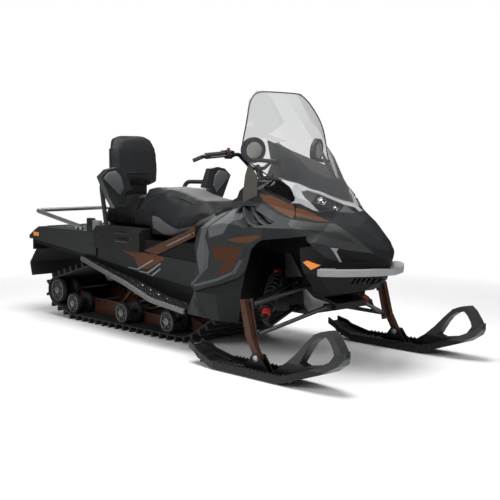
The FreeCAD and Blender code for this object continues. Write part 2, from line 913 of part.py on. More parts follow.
def make_track():
    """The closed belt with its rows of lugs, all one loop."""
    circles = track_circles()
    half = float(S.track_width) / 2
    outer = Part.Face(belt_wire(circles, float(S.belt_thickness)))
    inner = Part.Face(belt_wire(circles, 0.0))
    belt = outer.cut(inner)
    belt.translate(Vector(0, -half, 0))
    belt = belt.extrude(Vector(0, 2 * half, 0))
    path = belt_wire(circles, float(S.belt_thickness))
    count = int(round(path.Length / float(S.lug_pitch)))
    places = path.discretize(Number=2 * count + 1)
    lugs = []
    band_share = ((-1.0, -0.4), (-0.34, 0.34), (0.4, 1.0))
    root = float(S.belt_thickness) / 2
    for index in range(2 * count):
        here = places[index]
        ahead = places[(index + 1) % (2 * count)] - places[index - 1]
        ahead.normalize()
        outward = Vector(ahead.z, 0, -ahead.x)
        bands = (band_share[1],) if index % 2 else (band_share[0], band_share[2])
        low = here - outward * root
        tip = here + outward * float(S.lug_height)
        thick = float(S.lug_thickness)
        ring = [low - ahead * thick, low + ahead * thick, tip + ahead * thick / 2,
                tip - ahead * thick / 2]
        face = Part.Face(Part.makePolygon(ring + ring[:1]))
        for start_share, end_share in bands:
            lug = face.extrude(Vector(0, (end_share - start_share) * half, 0))
            lug.translate(Vector(0, start_share * half, 0))
            lugs.append(lug)
    feature("track", fused([belt] + lugs))


def wheel_template(label, radius):
    """Return a body: one rubber-tyred idler wheel turned about its own axle line."""
    body = new_body(label)
    sketch = new_sketch(body, "YZ_Plane")
    half = S.wheel_width * 0.5
    web = S.wheel_web_thickness * 0.5
    rim = radius - S.wheel_rim_depth
    bore = S.axle_radius + S.pin_play
    draw_outline(sketch, [
        (-half, bore), (-half, S.wheel_hub_radius), (-web, rim), (-half, radius),
        (half, radius), (web, rim), (half, S.wheel_hub_radius), (half, bore),
    ])
    turned = body.newObject("PartDesign::Revolution", "turned")
    turned.Profile = sketch
    turned.ReferenceAxis = (sketch, ["H_Axis"])
    turned.Angle = 360
    doc.recompute()
    return body


def wheel_places():
    """Return (front, up, template name, left) for each wheel that shows in the track."""
    floor = S.lug_height + S.belt_thickness
    edge = S.track_width * 0.5 - S.wheel_edge_inset
    near_rail = S.skid_rail_spread + S.wheel_width
    rows = [
        (-S.idler_back, S.idler_height, "idler"),
        (-S.bogie_rear_back, floor + S.bogie_radius, "bogie"),
        (-S.bogie_mid_back, floor + S.bogie_radius, "bogie"),
        (-S.bogie_front_back, floor + S.bogie_radius, "bogie"),
        (-S.carrier_back, S.carrier_height, "bogie"),
    ]
    places = []
    for front, up, name in rows:
        for spread in (edge, near_rail):
            for side in (-1, 1):
                places.append((float(front), float(up), name, float(spread) * side))
    return places


def make_wheels():
    """The wheels that the belt runs on, and the axles that carry them."""
    templates = {
        "bogie": wheel_template("bogie_wheel_form", S.bogie_radius - S.pin_play),
        "idler": wheel_template("idler_wheel_form", S.idler_radius - S.pin_play),
    }
    shapes = []
    for front, up, name, left in wheel_places():
        shape = templates[name].Shape.copy()
        shape.translate(Vector(front, left, up))
        shapes.append(shape)
    feature("skid_wheels", Part.makeCompound(shapes))
    edge = S.track_width * 0.5 - S.wheel_edge_inset + S.wheel_width * 0.5
    floor = S.lug_height + S.belt_thickness
    inner = S.tunnel_half_width - S.tunnel_wall
    axles = [
        cross_rod(-S.idler_back, S.idler_height, edge, S.axle_radius),
        cross_rod(-S.bogie_rear_back, floor + S.bogie_radius, edge, S.axle_radius),
        cross_rod(-S.bogie_mid_back, floor + S.bogie_radius, edge, S.axle_radius),
        cross_rod(-S.bogie_front_back, floor + S.bogie_radius, edge, S.axle_radius),
        cross_rod(-S.carrier_back, S.carrier_height, inner, S.axle_radius),
    ]
    drive = [cross_rod(S.sprocket_front, S.sprocket_height, inner, S.axle_radius * 1.5)]
    for share in (-0.62, -0.2, 0.2, 0.62):
        left = float(S.track_width) / 2 * share
        start = point(S.sprocket_front, ZERO, S.sprocket_height)
        start.y = left - float(S.wheel_width) / 2
        end = Vector(start.x, left + float(S.wheel_width) / 2, start.z)
        drive.append(rod(start, end, S.sprocket_radius - S.pin_play))
    feature("skid_axles", Part.makeCompound(axles + [fused(drive)]))


def make_skid():
    """The two slide rails, with the arms and dampers that hang them in the tunnel."""
    floor = S.lug_height + S.belt_thickness + S.pin_play
    rails = new_body("skid_rails")
    for side in (-1, 1):
        sketch = new_sketch(rails, "XZ_Plane", S.skid_rail_spread * side
                            - S.skid_rail_thickness * 0.5)
        draw_outline(sketch, [
            (-S.idler_back - S.wheel_hub_radius, S.idler_height - S.axle_radius * 2),
            (-S.bogie_rear_back - S.wheel_hub_radius, floor + S.axle_radius),
            (-S.bogie_rear_back + S.wheel_hub_radius, floor),
            (S.rail_nose_front - S.wheel_hub_radius, floor),
            (S.skid_rail_front, floor + S.skid_rail_depth * 0.5),
            (S.skid_rail_front - S.wheel_hub_radius, floor + S.skid_rail_depth * 0.9),
            (S.rail_nose_front - S.wheel_hub_radius * 2, floor + S.skid_rail_depth * 1.45),
            (-S.bogie_front_back - S.bogie_radius, floor + S.skid_rail_depth * 1.45),
            (-S.bogie_front_back - S.bogie_radius * 2, floor + S.skid_rail_depth),
            (-S.bogie_mid_back + S.bogie_radius, floor + S.skid_rail_depth),
            (-S.bogie_mid_back, floor + S.skid_rail_depth * 1.5),
            (-S.bogie_rear_back, floor + S.skid_rail_depth * 1.6),
            (-S.idler_back + S.wheel_hub_radius, S.idler_height + S.axle_radius * 2),
            (-S.idler_back - S.wheel_hub_radius, S.idler_height + S.axle_radius * 2),
        ])
        add_pad(rails, sketch, S.skid_rail_thickness)
    holes = new_sketch(rails, "XZ_Plane")
    height = S.lug_height + S.belt_thickness + S.bogie_radius
    for centre in ((-S.idler_back, S.idler_height), (-S.bogie_rear_back, height),
                   (-S.bogie_mid_back, height), (-S.bogie_front_back, height)):
        draw_circle(holes, centre, S.axle_radius + S.pin_play)
    add_pocket(rails, holes, S.track_width, both_ways=True)
    keep(rails)
    inner = S.skid_rail_spread - S.skid_rail_thickness * 0.5
    wall = S.tunnel_half_width - S.tunnel_wall
    arms = []
    sets = (
        (S.front_arm_mount_front, S.front_arm_mount_height, -S.front_arm_foot_back),
        (-S.rear_arm_mount_back, S.rear_arm_mount_height, -S.rear_arm_foot_back),
    )
    for mount_front, mount_height, foot_front in sets:
        shapes = [
            cross_rod(mount_front, mount_height, wall, S.skid_arm_radius),
            cross_rod(foot_front, height, inner, S.skid_arm_radius),
        ]
        for side in (-1, 1):
            spread = inner * (0.75 * side)
            shapes.append(rod(point(mount_front, spread, mount_height),
                              point(foot_front, spread, height), S.skid_arm_radius))
        head = point(mount_front, ZERO, mount_height)
        foot = point(foot_front, ZERO, height)
        shapes.extend(damper_shapes(head, foot))
        arms.append(fused(shapes))
    feature("skid_arms", Part.makeCompound(arms))


def damper_shapes(head, foot):
    """Return a damper's wide and narrow halves between two cross tubes."""
    middle = head + (foot - head) * 0.5
    return [rod(head, middle, S.skid_shock_radius), rod(middle, foot, S.skid_arm_radius)]


# Bodywork, cut out of one moulded form

# Each row is a place along the bodywork and its half section, from the crown down to the floor:
# crown, brow, lamp line, stripe, shoulder, arch, belly side and floor.
BODY_SECTION_SHARES = (
    (0.000, ((0.0, 0.829), (0.375, 0.8187), (0.5, 0.7979), (0.5833, 0.7668),
             (0.8333, 0.6891), (0.9479, 0.5181), (0.9792, 0.3627), (0.9375, 0.2228))),
    (0.266, ((0.0, 0.9378), (0.4271, 0.9244), (0.5625, 0.9036), (0.6458, 0.829),
             (0.8958, 0.7482), (0.9583, 0.5596), (1, 0.3627), (0.9479, 0.2124))),
    (0.456, ((0.0, 1), (0.4958, 0.9896), (0.6, 0.9409), (0.6958, 0.8642),
             (0.9625, 0.742), (0.975, 0.6218), (0.9375, 0.4145), (0.8333, 0.2124))),
    (0.551, ((0.0, 0.9762), (0.4062, 0.9617), (0.5125, 0.9078), (0.6083, 0.8352),
             (0.9, 0.7378), (0.9167, 0.6425), (0.8021, 0.4456), (0.6875, 0.2487))),
    (0.646, ((0.0, 0.9306), (0.2708, 0.9161), (0.3875, 0.8642), (0.4958, 0.8021),
             (0.7083, 0.7337), (0.7333, 0.6653), (0.625, 0.5078), (0.4167, 0.3627))),
    (0.751, ((0.0, 0.8684), (0.1125, 0.8539), (0.2042, 0.8207), (0.2875, 0.7813),
             (0.4417, 0.7233), (0.5708, 0.6653), (0.5208, 0.4974), (0.2917, 0.3813))),
    (0.865, ((0.0, 0.7876), (0.05, 0.7803), (0.1, 0.7658), (0.1583, 0.742),
             (0.2417, 0.6922), (0.3458, 0.628), (0.25, 0.4953), (0.0833, 0.4062))),
    (0.960, ((0.0, 0.6922), (0.0292, 0.6891), (0.0583, 0.6819), (0.0875, 0.6684),
             (0.125, 0.6404), (0.1292, 0.6093), (0.0958, 0.5389), (0.0417, 0.4715))),
    (1.000, ((0.0, 0.6383), (0.0125, 0.6373), (0.025, 0.6352), (0.0354, 0.6311),
             (0.0437, 0.6238), (0.0437, 0.6093), (0.0312, 0.5886), (0.0125, 0.5762))),
)


def body_form(depth, count=None):
    """Return the bodywork's form moved inwards by a depth, through the first of its sections."""
    rings = []
    for place_share, half_shares in BODY_SECTION_SHARES[:count]:
        front = float(S.bodywork_back) + float(S.bodywork_length) * place_share
        half = scaled(half_shares, S.bodywork_half_width, S.bodywork_height)
        ring = [(-across, up) for across, up in half]
        ring += [(across, up) for across, up in reversed(half[1:])]
        if depth:
            ring = inset(ring, depth)
        rings.append([Vector(front, across, up) for across, up in ring])
    lead = Vector(depth, 0, 0)
    rings[0] = [corner - lead for corner in rings[0]]
    rings[-1] = [corner - lead for corner in rings[-1]]
    return ruled_loft(rings)


def body_layer(start, end):
    """Return the skin of the bodywork's main part between two depths."""
    return body_form(start, SKIN_SECTIONS).cut(body_form(end, SKIN_SECTIONS))


# The number of sections, from the back, that the lowered skins and the vents run through.
SKIN_SECTIONS = 7
TRAY_SECTIONS = 5

# Outlines in side view, as shares of the bodywork's length from its back edge and of its height.
PANEL_TOP_SHARES = (
    (0.169, 0.853), (0.276, 0.868), (0.461, 0.855), (0.565, 0.801), (0.618, 0.781),
)
NOSE_TOP_SHARES = (
    (0.618, 0.781), (0.671, 0.769), (0.721, 0.761), (0.770, 0.759), (0.828, 0.722),
    (0.890, 0.673), (0.950, 0.614), (0.972, 0.588), (1.060, 0.570),
)
CHEEK_EDGE_SHARES = ((0.624, 0.756), (0.683, 0.713), (0.708, 0.697))
NOSE_LOW_SHARES = (
    (0.708, 0.697), (0.713, 0.678), (0.739, 0.648), (0.781, 0.592), (0.820, 0.571),
    (0.873, 0.561), (0.939, 0.562), (1.060, 0.548),
)
ARCH_SHARES = (
    (0.708, 0.697), (0.645, 0.687), (0.554, 0.676), (0.524, 0.659), (0.493, 0.621),
    (0.459, 0.514), (0.411, 0.348), (0.370, 0.205),
)
PANEL_BACK_SHARES = (
    (0.016, 0.205), (0.016, 0.235), (0.052, 0.297), (0.097, 0.365), (0.060, 0.405),
    (0.104, 0.454), (0.104, 0.526), (0.058, 0.615), (0.059, 0.664), (0.073, 0.719),
    (0.074, 0.761), (0.131, 0.791), (0.216, 0.812),
)
BELLY_BACK_SHARES = (
    (0.739, 0.648), (0.690, 0.635), (0.683, 0.584), (0.683, 0.531), (0.688, 0.493),
    (0.688, 0.300),
)
STEP_VIEW_SHARES = (
    (-0.100, 0.365), (0.097, 0.365), (0.345, 0.466), (0.400, 0.509), (0.466, 0.614),
    (0.477, 0.636), (0.520, 0.665), (0.600, 0.640), (0.600, 0.100), (-0.100, 0.100),
)
STRIP_VIEW_SHARES = PANEL_BACK_SHARES[4:] + (
    (0.157, 0.741), (0.135, 0.659), (0.176, 0.532), (0.165, 0.487),
)
LOUVER_VIEW_SHARES = (
    (0.285, 0.842), (0.415, 0.848), (0.582, 0.766), (0.575, 0.752), (0.450, 0.728),
    (0.329, 0.762), (0.275, 0.799),
)
LOUVER_FIN_SHARES = (
    ((0.298, 0.837), (0.393, 0.795), (0.473, 0.759), (0.540, 0.739)),
    ((0.355, 0.858), (0.373, 0.848), (0.465, 0.804), (0.503, 0.775), (0.575, 0.745)),
    ((0.440, 0.850), (0.474, 0.828), (0.503, 0.803), (0.539, 0.781), (0.600, 0.750)),
)
HOOD_LINE_SHARES = PANEL_TOP_SHARES + NOSE_TOP_SHARES[1:]
SIDE_OUTLINE_SHARES = (PANEL_BACK_SHARES + PANEL_TOP_SHARES + CHEEK_EDGE_SHARES
                       + ARCH_SHARES[1:])
CHEEK_OUTLINE_SHARES = (NOSE_TOP_SHARES + tuple(reversed(NOSE_LOW_SHARES))
                        + tuple(reversed(CHEEK_EDGE_SHARES[:-1])))
BELLY_OUTLINE_SHARES = (BELLY_BACK_SHARES + ((1.060, 0.300),)
                        + tuple(reversed(NOSE_LOW_SHARES[3:])))


def side_view(shares):
    """Return side-view points of the bodywork from a table of shares."""
    return [(float(S.bodywork_back) + float(S.bodywork_length) * front_share,
             float(S.bodywork_height) * up_share) for front_share, up_share in shares]


# Outlines in plan on the left half, as shares of the bodywork's length and half width.
COCKPIT_EDGE_SHARES = ((0.100, 0.430), (0.418, 0.430), (0.528, 0.280), (0.675, 0.0))
FOOT_EDGE_SHARES = (
    (0.400, 0.470), (0.463, 0.420), (0.515, 0.376), (0.566, 0.339), (0.601, 0.278),
    (0.639, 0.228), (0.683, 0.177), (0.727, 0.093), (0.765, 0.0),
)
INTAKE_EDGE_SHARES = (
    (0.404, 0.559), (0.444, 0.494), (0.530, 0.486), (0.570, 0.499), (0.573, 0.521),
    (0.545, 0.549), (0.492, 0.582),
)
LAMP_FRONT_SHARES = (
    (0.690, 0.363), (0.722, 0.269), (0.775, 0.164), (0.804, 0.110), (0.815, 0.030),
)
SURROUND_EDGE_SHARES = (
    (0.440, 0.470), (0.496, 0.471), (0.539, 0.461), (0.565, 0.473), (0.586, 0.490),
    (0.577, 0.529), (0.610, 0.469), (0.642, 0.436), (0.668, 0.403),
) + LAMP_FRONT_SHARES + ((0.818, 0.0),)
LAMP_EDGE_SHARES = (
    (0.616, 0.407), (0.587, 0.401), (0.607, 0.340), (0.647, 0.277), (0.694, 0.202),
    (0.753, 0.109), (0.785, 0.030),
) + tuple(reversed(LAMP_FRONT_SHARES))


def plan_view(shares, side=1):
    """Return plan points of the bodywork from a table of shares."""
    return [(float(S.bodywork_back) + float(S.bodywork_length) * front_share,
             float(S.bodywork_half_width) * left_share * side)
            for front_share, left_share in shares]


def both_sides(shares):
    """Return a plan outline that runs along the left edge and back along the right one."""
    return plan_view(shares) + list(reversed(plan_view(shares[:-1], -1)))


def make_hood(shell):
    """The hood, the lamp surround and the headlamps.

    Returns the flange under the windshield and the two intake panels.
    """
    wide = S.bodywork_half_width + S.overrun
    tall = S.bodywork_height + S.overrun
    view = side_view(HOOD_LINE_SHARES)
    view += [(view[-1][0], float(tall)), (view[0][0], float(tall))]
    above = prism(view, "XZ", -wide, wide)
    form = shell.common(above)
    cockpit = prism(both_sides(COCKPIT_EDGE_SHARES), "XY", ZERO, tall)
    foot = prism(both_sides(FOOT_EDGE_SHARES), "XY", ZERO, tall)
    band = prism(both_sides(SURROUND_EDGE_SHARES), "XY", ZERO, tall)
    lamps = [prism(plan_view(LAMP_EDGE_SHARES, side), "XY", ZERO, tall) for side in (-1, 1)]
    intakes = [prism(plan_view(INTAKE_EDGE_SHARES, side), "XY", ZERO, tall) for side in (-1, 1)]
    feature("hood", form.cut([cockpit, foot, band] + intakes))
    surround = form.common(band).cut([cockpit, foot] + lamps)
    feature("headlight_surround", surround)
    skin = body_layer(float(S.lamp_recess), float(S.lamp_recess + S.bodywork_wall)).common(above)
    feature("headlamps", Part.makeCompound([skin.common(lamp) for lamp in lamps]))
    depth = float(S.intake_depth)
    mesh = body_layer(depth, depth + float(S.bodywork_wall)).common(above)
    return form.common(foot).cut(cockpit), [mesh.common(intake) for intake in intakes]


def louver_tray(wide):
    """Return the right vent: a sunken tray with its slanted fins."""
    wall = float(S.bodywork_wall)
    deep = float(S.louver_depth)
    inner = -S.panel_inner_half_width
    view = side_view(LOUVER_VIEW_SHARES)
    room = prism(view, "XZ", -wide, inner)
    core = prism(inset(view, wall), "XZ", -wide, inner)
    outer = body_form(0, TRAY_SECTIONS)
    back = body_form(deep + wall, TRAY_SECTIONS)
    floor = body_form(deep, TRAY_SECTIONS).cut(back).common(room)
    walls = outer.cut(back).common(room).cut(core)
    blades = body_form(float(S.panel_step), TRAY_SECTIONS).cut(back).common(room)
    fins = []
    for shares in LOUVER_FIN_SHARES:
        line = side_view(shares)
        strip = line + [(front, up - float(S.louver_fin_thickness))
                        for front, up in reversed(line)]
        fins.append(blades.common(prism(strip, "XZ", -wide, inner)))
    return room, fused([floor, walls] + fins)


def make_side_panels(shell):
    """The side panels: an upper and a sunk lower skin, the raised rear strip and the vent."""
    wide = S.bodywork_half_width + S.overrun
    view = side_view(SIDE_OUTLINE_SHARES)
    side_form = prism(view, "XZ", -wide, -S.tunnel_half_width)
    upper_form = prism(view, "XZ", -wide, -S.panel_inner_half_width)
    lift = Part.makeBox(float(S.bodywork_length) * 2, float(wide), float(S.bodywork_height),
                        Vector(0, -float(wide), float(S.tunnel_top) + float(S.overrun)))
    whole = side_form.fuse(upper_form.common(lift))
    step = prism(side_view(STEP_VIEW_SHARES), "XZ", -wide, -S.tunnel_half_width)
    strip_form = prism(side_view(STRIP_VIEW_SHARES), "XZ", -wide, -S.tunnel_half_width)
    vent, tray = louver_tray(wide)
    sunk = float(S.panel_step)
    wall = float(S.bodywork_wall)
    upper = shell.common(whole).cut([step, vent])
    lower = body_layer(sunk, sunk + wall).common(whole).common(step)
    strip = body_layer(-float(S.strip_rise), wall).common(strip_form).common(whole)
    twins("side_panels", [fused([upper, lower, strip, tray])])


def make_grille_slots():
    """Return the cutters of the grille's slots."""
    count = int(2 * float(S.grille_half_width) / float(S.grille_bar_pitch))
    gap = float(S.grille_bar_pitch - S.grille_bar_width)
    margin = float(S.grille_bar_width)
    slots = []
    for index in range(count):
        left = -float(S.grille_half_width) + margin + index * float(S.grille_bar_pitch)
        slots.append(Part.makeBox(
            float(S.bodywork_length), gap,
            float(S.grille_high - S.grille_low) - 2 * margin,
            Vector(float(S.frame_nose_front), left, float(S.grille_low) + margin)))
    return slots


def make_bodywork():
    """The panels, split where the real ones meet.

    Returns the outer form, the flange under the windshield and the intake panels.
    """
    outer = body_form(0)
    shell = outer.cut(body_form(float(S.bodywork_wall)))
    wide = S.bodywork_half_width + S.overrun
    flange, intakes = make_hood(shell)
    make_side_panels(shell)
    feature("nose", shell.common(prism(side_view(CHEEK_OUTLINE_SHARES), "XZ", -wide, wide)))
    belly = shell.common(prism(side_view(BELLY_OUTLINE_SHARES), "XZ", -wide, wide))
    feature("belly_pan", belly.cut(make_grille_slots()))
    make_bumper(outer)
    return outer, flange, intakes


# Outline in plan on the left half, as shares of the bumper's reach and half width.
BUMPER_EDGE_SHARES = (
    (0.806, 0.760), (0.826, 0.930), (0.850, 0.960), (0.905, 0.760), (0.965, 0.400), (1.0, 0.0),
)


def make_bumper(outer):
    """The bar that wraps round the nose, seated on the bodywork."""
    left_edge = scaled(BUMPER_EDGE_SHARES, S.bumper_reach, S.bumper_half_width)
    edge = left_edge + [(front, -left) for front, left in reversed(left_edge[:-1])]
    corners = [Vector(float(front), float(left), float(S.bumper_low)) for front, left in edge]
    face = Part.Face(Part.makePolygon(corners + corners[:1]))
    rim = face.cut(face.makeOffset2D(-float(S.bumper_bar_width)))
    bar = rim.extrude(Vector(0, 0, float(S.bumper_depth)))
    feature("front_bumper", bar.cut(outer))


# Windshield and fairing: rings at shares of the top's height, each a half outline in shares of
# the foot's reach and of the half width.
SHIELD_RING_SHARES = (
    (0.566, ((1.000, 0.0), (0.900, 0.470), (0.750, 0.720))),
    (0.672, ((0.888, 0.0), (0.812, 0.440), (0.664, 0.800))),
    (0.752, ((0.803, 0.0), (0.742, 0.485), (0.568, 1.000))),
    (0.796, ((0.756, 0.0), (0.699, 0.470), (0.559, 0.985))),
    (0.881, ((0.667, 0.0), (0.633, 0.424), (0.559, 0.880))),
    (0.962, ((0.582, 0.0), (0.568, 0.364), (0.524, 0.712))),
    (1.000, ((0.541, 0.0), (0.537, 0.273), (0.515, 0.515))),
)
SHIELD_SIDE_SHARES = (
    (0.480, 1.060), (0.540, 0.752), (0.700, 0.664), (0.700, 0.500), (1.100, 0.500),
    (1.100, 1.060),
)
FAIRING_RING_SHARES = (
    (0.696, ((1.000, 0.0), (0.891, 0.570), (0.751, 0.900))),
    (0.826, ((0.891, 0.0), (0.805, 0.550), (0.697, 0.880))),
    (1.000, ((0.756, 0.0), (0.665, 0.612), (0.633, 0.800))),
)
FAIRING_SIDE_SHARES = (
    (0.600, 0.600), (1.050, 0.600), (1.050, 0.820), (0.914, 0.848), (0.633, 1.000),
    (0.600, 1.000),
)


# The smoked wing beside the windshield in side view, as shares of the shield's reach and top.
WING_VIEW_SHARES = (
    (0.575, 0.723), (0.555, 0.685), (0.541, 0.622), (0.541, 0.566), (0.634, 0.566),
    (0.634, 0.682), (0.601, 0.711),
)


def bow_shell(ring_shares, reach, half_width, top, wall):
    """Return a bent sheet through bow-shaped rings, open at its back."""
    rings = []
    for up_share, half_shares in ring_shares:
        up = float(top) * up_share
        half = scaled(half_shares, reach, half_width)
        front = [(x, -y) for x, y in reversed(half)] + half[1:]
        back = [(x - float(wall), y) for x, y in front]
        rings.append([Vector(x, y, up) for x, y in front + list(reversed(back))])
    return ruled_loft(rings)


def make_windshield(outer, flange, intakes):
    """The clear windshield, the dark fairing behind its foot and the smoked side wings."""
    wide = S.bodywork_half_width
    shield = bow_shell(SHIELD_RING_SHARES, S.shield_foot_front, S.shield_half_width,
                       S.shield_top, S.shield_wall)
    trim = prism(scaled(SHIELD_SIDE_SHARES, S.shield_foot_front, S.shield_top),
                 "XZ", -wide, wide)
    feature("windshield", shield.common(trim).cut(outer))
    fairing = bow_shell(FAIRING_RING_SHARES, S.fairing_foot_front, S.fairing_half_width,
                        S.fairing_top, S.bodywork_wall)
    trim = prism(scaled(FAIRING_SIDE_SHARES, S.fairing_foot_front, S.fairing_top),
                 "XZ", -wide, wide)
    fairing = fused([fairing.common(trim).cut(outer), flange])
    wing = prism(scaled(WING_VIEW_SHARES, S.shield_foot_front, S.shield_top), "XZ",
                 -S.wing_spread, -S.wing_spread + S.wing_thickness).cut(outer)
    feature("fairing", Part.makeCompound([fairing, wing, across(wing)] + intakes))
    return fairing


def make_mirrors(fairing):
    """The two round mirrors, each on a short arm from the fairing."""
    solids = []
    toe = math.radians(float(S.mirror_toe_in))
    tilt = math.radians(float(S.mirror_tilt))
    for side in (-1, 1):
        centre = Vector(float(S.mirror_front), float(S.mirror_spread) * side,
                        float(S.mirror_height))
        facing = Vector(-math.cos(toe) * math.cos(tilt), -side * math.sin(toe) * math.cos(tilt),
                        math.sin(tilt))
        back = centre - facing * (float(S.mirror_depth) / 2)
        shell = Part.makeCylinder(float(S.mirror_radius), float(S.mirror_depth), back, facing)
        recess_start = centre - facing * (float(S.mirror_depth) / 2 - float(S.bodywork_wall))
        recess = Part.makeCylinder(float(S.mirror_radius - S.mirror_frame_width),
                                   float(S.mirror_depth), recess_start, facing)
        lift = Vector(0, 0, -float(S.mirror_radius) * 0.75)
        elbow = centre + lift
        root = Vector(float(S.mirror_front) + float(S.mirror_radius) * 2,
                      (float(S.mirror_spread) - float(S.mirror_radius) * 0.72) * side,
                      float(S.mirror_height) - float(S.mirror_radius) * 0.9)
        arm = rod(elbow, root, S.bar_radius)
        solid = shell.cut(recess).fuse(arm).cut(recess).cut(fairing)
        solids.append(max(solid.Solids, key=lambda item: item.Volume))
    feature("mirrors", Part.makeCompound(solids))


# Console outline in side view, as shares of its length from the back and of its full height.
CONSOLE_SIDE_SHARES = (
    (0.0, 0.0), (0.0, 0.470), (0.33, 0.620), (0.42, 0.850), (0.60, 1.0), (0.92, 1.0),
    (1.0, 0.90), (1.0, 0.0),
)


def column_axis():
    """Return the steering column's direction, leaning back towards the driver."""
    lean = math.radians(float(S.column_lean))
    return Vector(-math.sin(lean), 0, math.cos(lean))


def make_console():
    """The console with the collar for the steering column, and the gauge on top."""
    height = float(S.console_top - S.tunnel_top)
    length = float(S.console_front - S.console_back)
    outline = [(float(S.console_back) + length * x, float(S.tunnel_top) + height * z)
               for x, z in CONSOLE_SIDE_SHARES]
    block = prism(outline, "XZ", -S.console_half_width * 0.9, S.console_half_width * 0.9)
    base = point(S.column_front, ZERO, S.column_height)
    axis = column_axis()
    collar = Part.makeCylinder(float(S.boot_radius), float(S.boot_radius) * 4,
                               base - axis * (float(S.boot_radius) * 4), axis)
    feature("console", fused([block, collar]))
    gauge_box = Part.makeBox(float(S.gauge_depth), float(S.gauge_width), float(S.gauge_height))
    gauge_box.translate(Vector(0, -float(S.gauge_width) / 2, 0))
    gauge_box.rotate(Vector(0, 0, 0), Vector(0, 1, 0), float(S.gauge_lean))
    gauge_box.translate(point(S.console_front - S.gauge_width, ZERO,
                              S.console_top + S.gauge_depth * 0.5))
    foot = Part.makeBox(float(S.gauge_depth), float(S.gauge_width) / 2,
                        float(S.gauge_depth) * 2)
    foot.translate(point(S.console_front - S.gauge_width + S.gauge_depth * 0.4,
                         -S.gauge_width * 0.25, S.console_top))
    feature("gauge", fused([gauge_box, foot]))


# Front frame, engine and suspension

def make_front_frame():
    """The bulkhead that closes the tunnel's front and carries the arms, and the engine."""
    outline = [
        (S.tunnel_front + S.closeoff_thickness, S.frame_low),
        (S.frame_front - S.overrun * 3, S.frame_low),
        (S.frame_nose_front, S.frame_nose_low), (S.frame_nose_front, S.frame_nose_high),
        (S.frame_front, S.frame_nose_high + S.frame_wall * 3),
        (S.frame_front, S.frame_top), (S.tunnel_front + S.closeoff_thickness, S.frame_top),
    ]
    half = S.frame_half_width
    flat = [(float(x), float(z)) for x, z in outline]
    block = prism(flat, "XZ", -half, half)
    hollow = prism(inset(flat, float(S.frame_wall)), "XZ",
                   -half + S.frame_wall, half - S.frame_wall)
    closeoff = Part.makeBox(
        float(S.closeoff_thickness), 2 * float(S.tunnel_half_width),
        float(S.tunnel_top - S.board_toe_height),
        point(S.tunnel_front, -S.tunnel_half_width, S.board_toe_height))
    span = float(S.frame_front - S.tunnel_front)
    rise = float(S.frame_top - S.frame_low)
    windows = []
    for start_share, end_share in ((0.12, 0.30), (0.36, 0.52)):
        window = [
            (float(S.tunnel_front) + span * start_share, float(S.frame_low) + rise * 0.25),
            (float(S.tunnel_front) + span * end_share, float(S.frame_low) + rise * 0.25),
            (float(S.tunnel_front) + span * end_share, float(S.frame_low) + rise * 0.55),
        ]
        windows.append(prism(window, "XZ", -half - S.overrun, half + S.overrun))
    frame = fused([block.cut(hollow).cut(windows), closeoff])
    head = shock_points()[0]
    foot = shock_points()[1]
    along = (foot - head).normalize()
    seat = rod(head - along * float(S.overrun), head, S.shock_body_radius)
    twin = seat.mirror(Vector(0, 0, 0), Vector(0, 1, 0))
    frame = fused([frame, seat.cut(hollow), twin.cut(hollow)])
    feature("front_frame", frame)
    engine = plate("engine_block", "XZ_Plane", [
        (S.engine_back, S.frame_top), (S.engine_back + S.engine_length, S.frame_top),
        (S.engine_back + S.engine_length, S.frame_top + S.engine_height),
        (S.engine_back, S.frame_top + S.engine_height),
    ], -S.engine_half_width, S.engine_half_width * 2)
    keep(engine)


def kingpin_points():
    """Return the centres of the right lower and upper arm eyes."""
    low = point(S.kingpin_low_front, -S.kingpin_spread, S.kingpin_low_height)
    high = point(S.kingpin_high_front, -S.kingpin_spread, S.kingpin_high_height)
    return low, high


def shock_points():
    """Return the right shock's upper and lower end points."""
    head = point(S.shock_top_front, -S.frame_half_width - S.arm_bush_radius,
                 S.shock_top_height)
    foot = point(S.shock_foot_front, -S.shock_foot_spread, S.shock_foot_height)
    return head, foot


def arm_shape(eye_centre, inner_points, extra):
    """Return one A-arm: an eye, two tubes and their bushes, drilled for the king pin."""
    low, high = kingpin_points()
    axis = (high - low).normalize()
    half = float(S.eye_length) / 2
    eye = Part.makeCylinder(float(S.eye_radius), 2 * half, eye_centre - axis * half, axis)
    shapes = [eye]
    for inner in inner_points:
        shapes.append(rod(eye_centre, inner, S.arm_tube_radius))
        bush_half = float(S.arm_bush_length) / 2
        shapes.append(Part.makeCylinder(float(S.arm_bush_radius), 2 * bush_half,
                                        inner - Vector(bush_half, 0, 0), Vector(1, 0, 0)))
    bore = Part.makeCylinder(float(S.kingpin_radius + S.pin_play), 4 * half,
                             eye_centre - axis * (2 * half), axis)
    return fused(shapes + extra).cut(bore)


# Where the spring begins and ends along the damper, and the slopes of one of its ripples.
SPRING_START_SHARE = 0.22
SPRING_END_SHARE = 0.86
SPRING_ROOT_SHARE = 0.35
SPRING_CREST_SHARE = 0.7


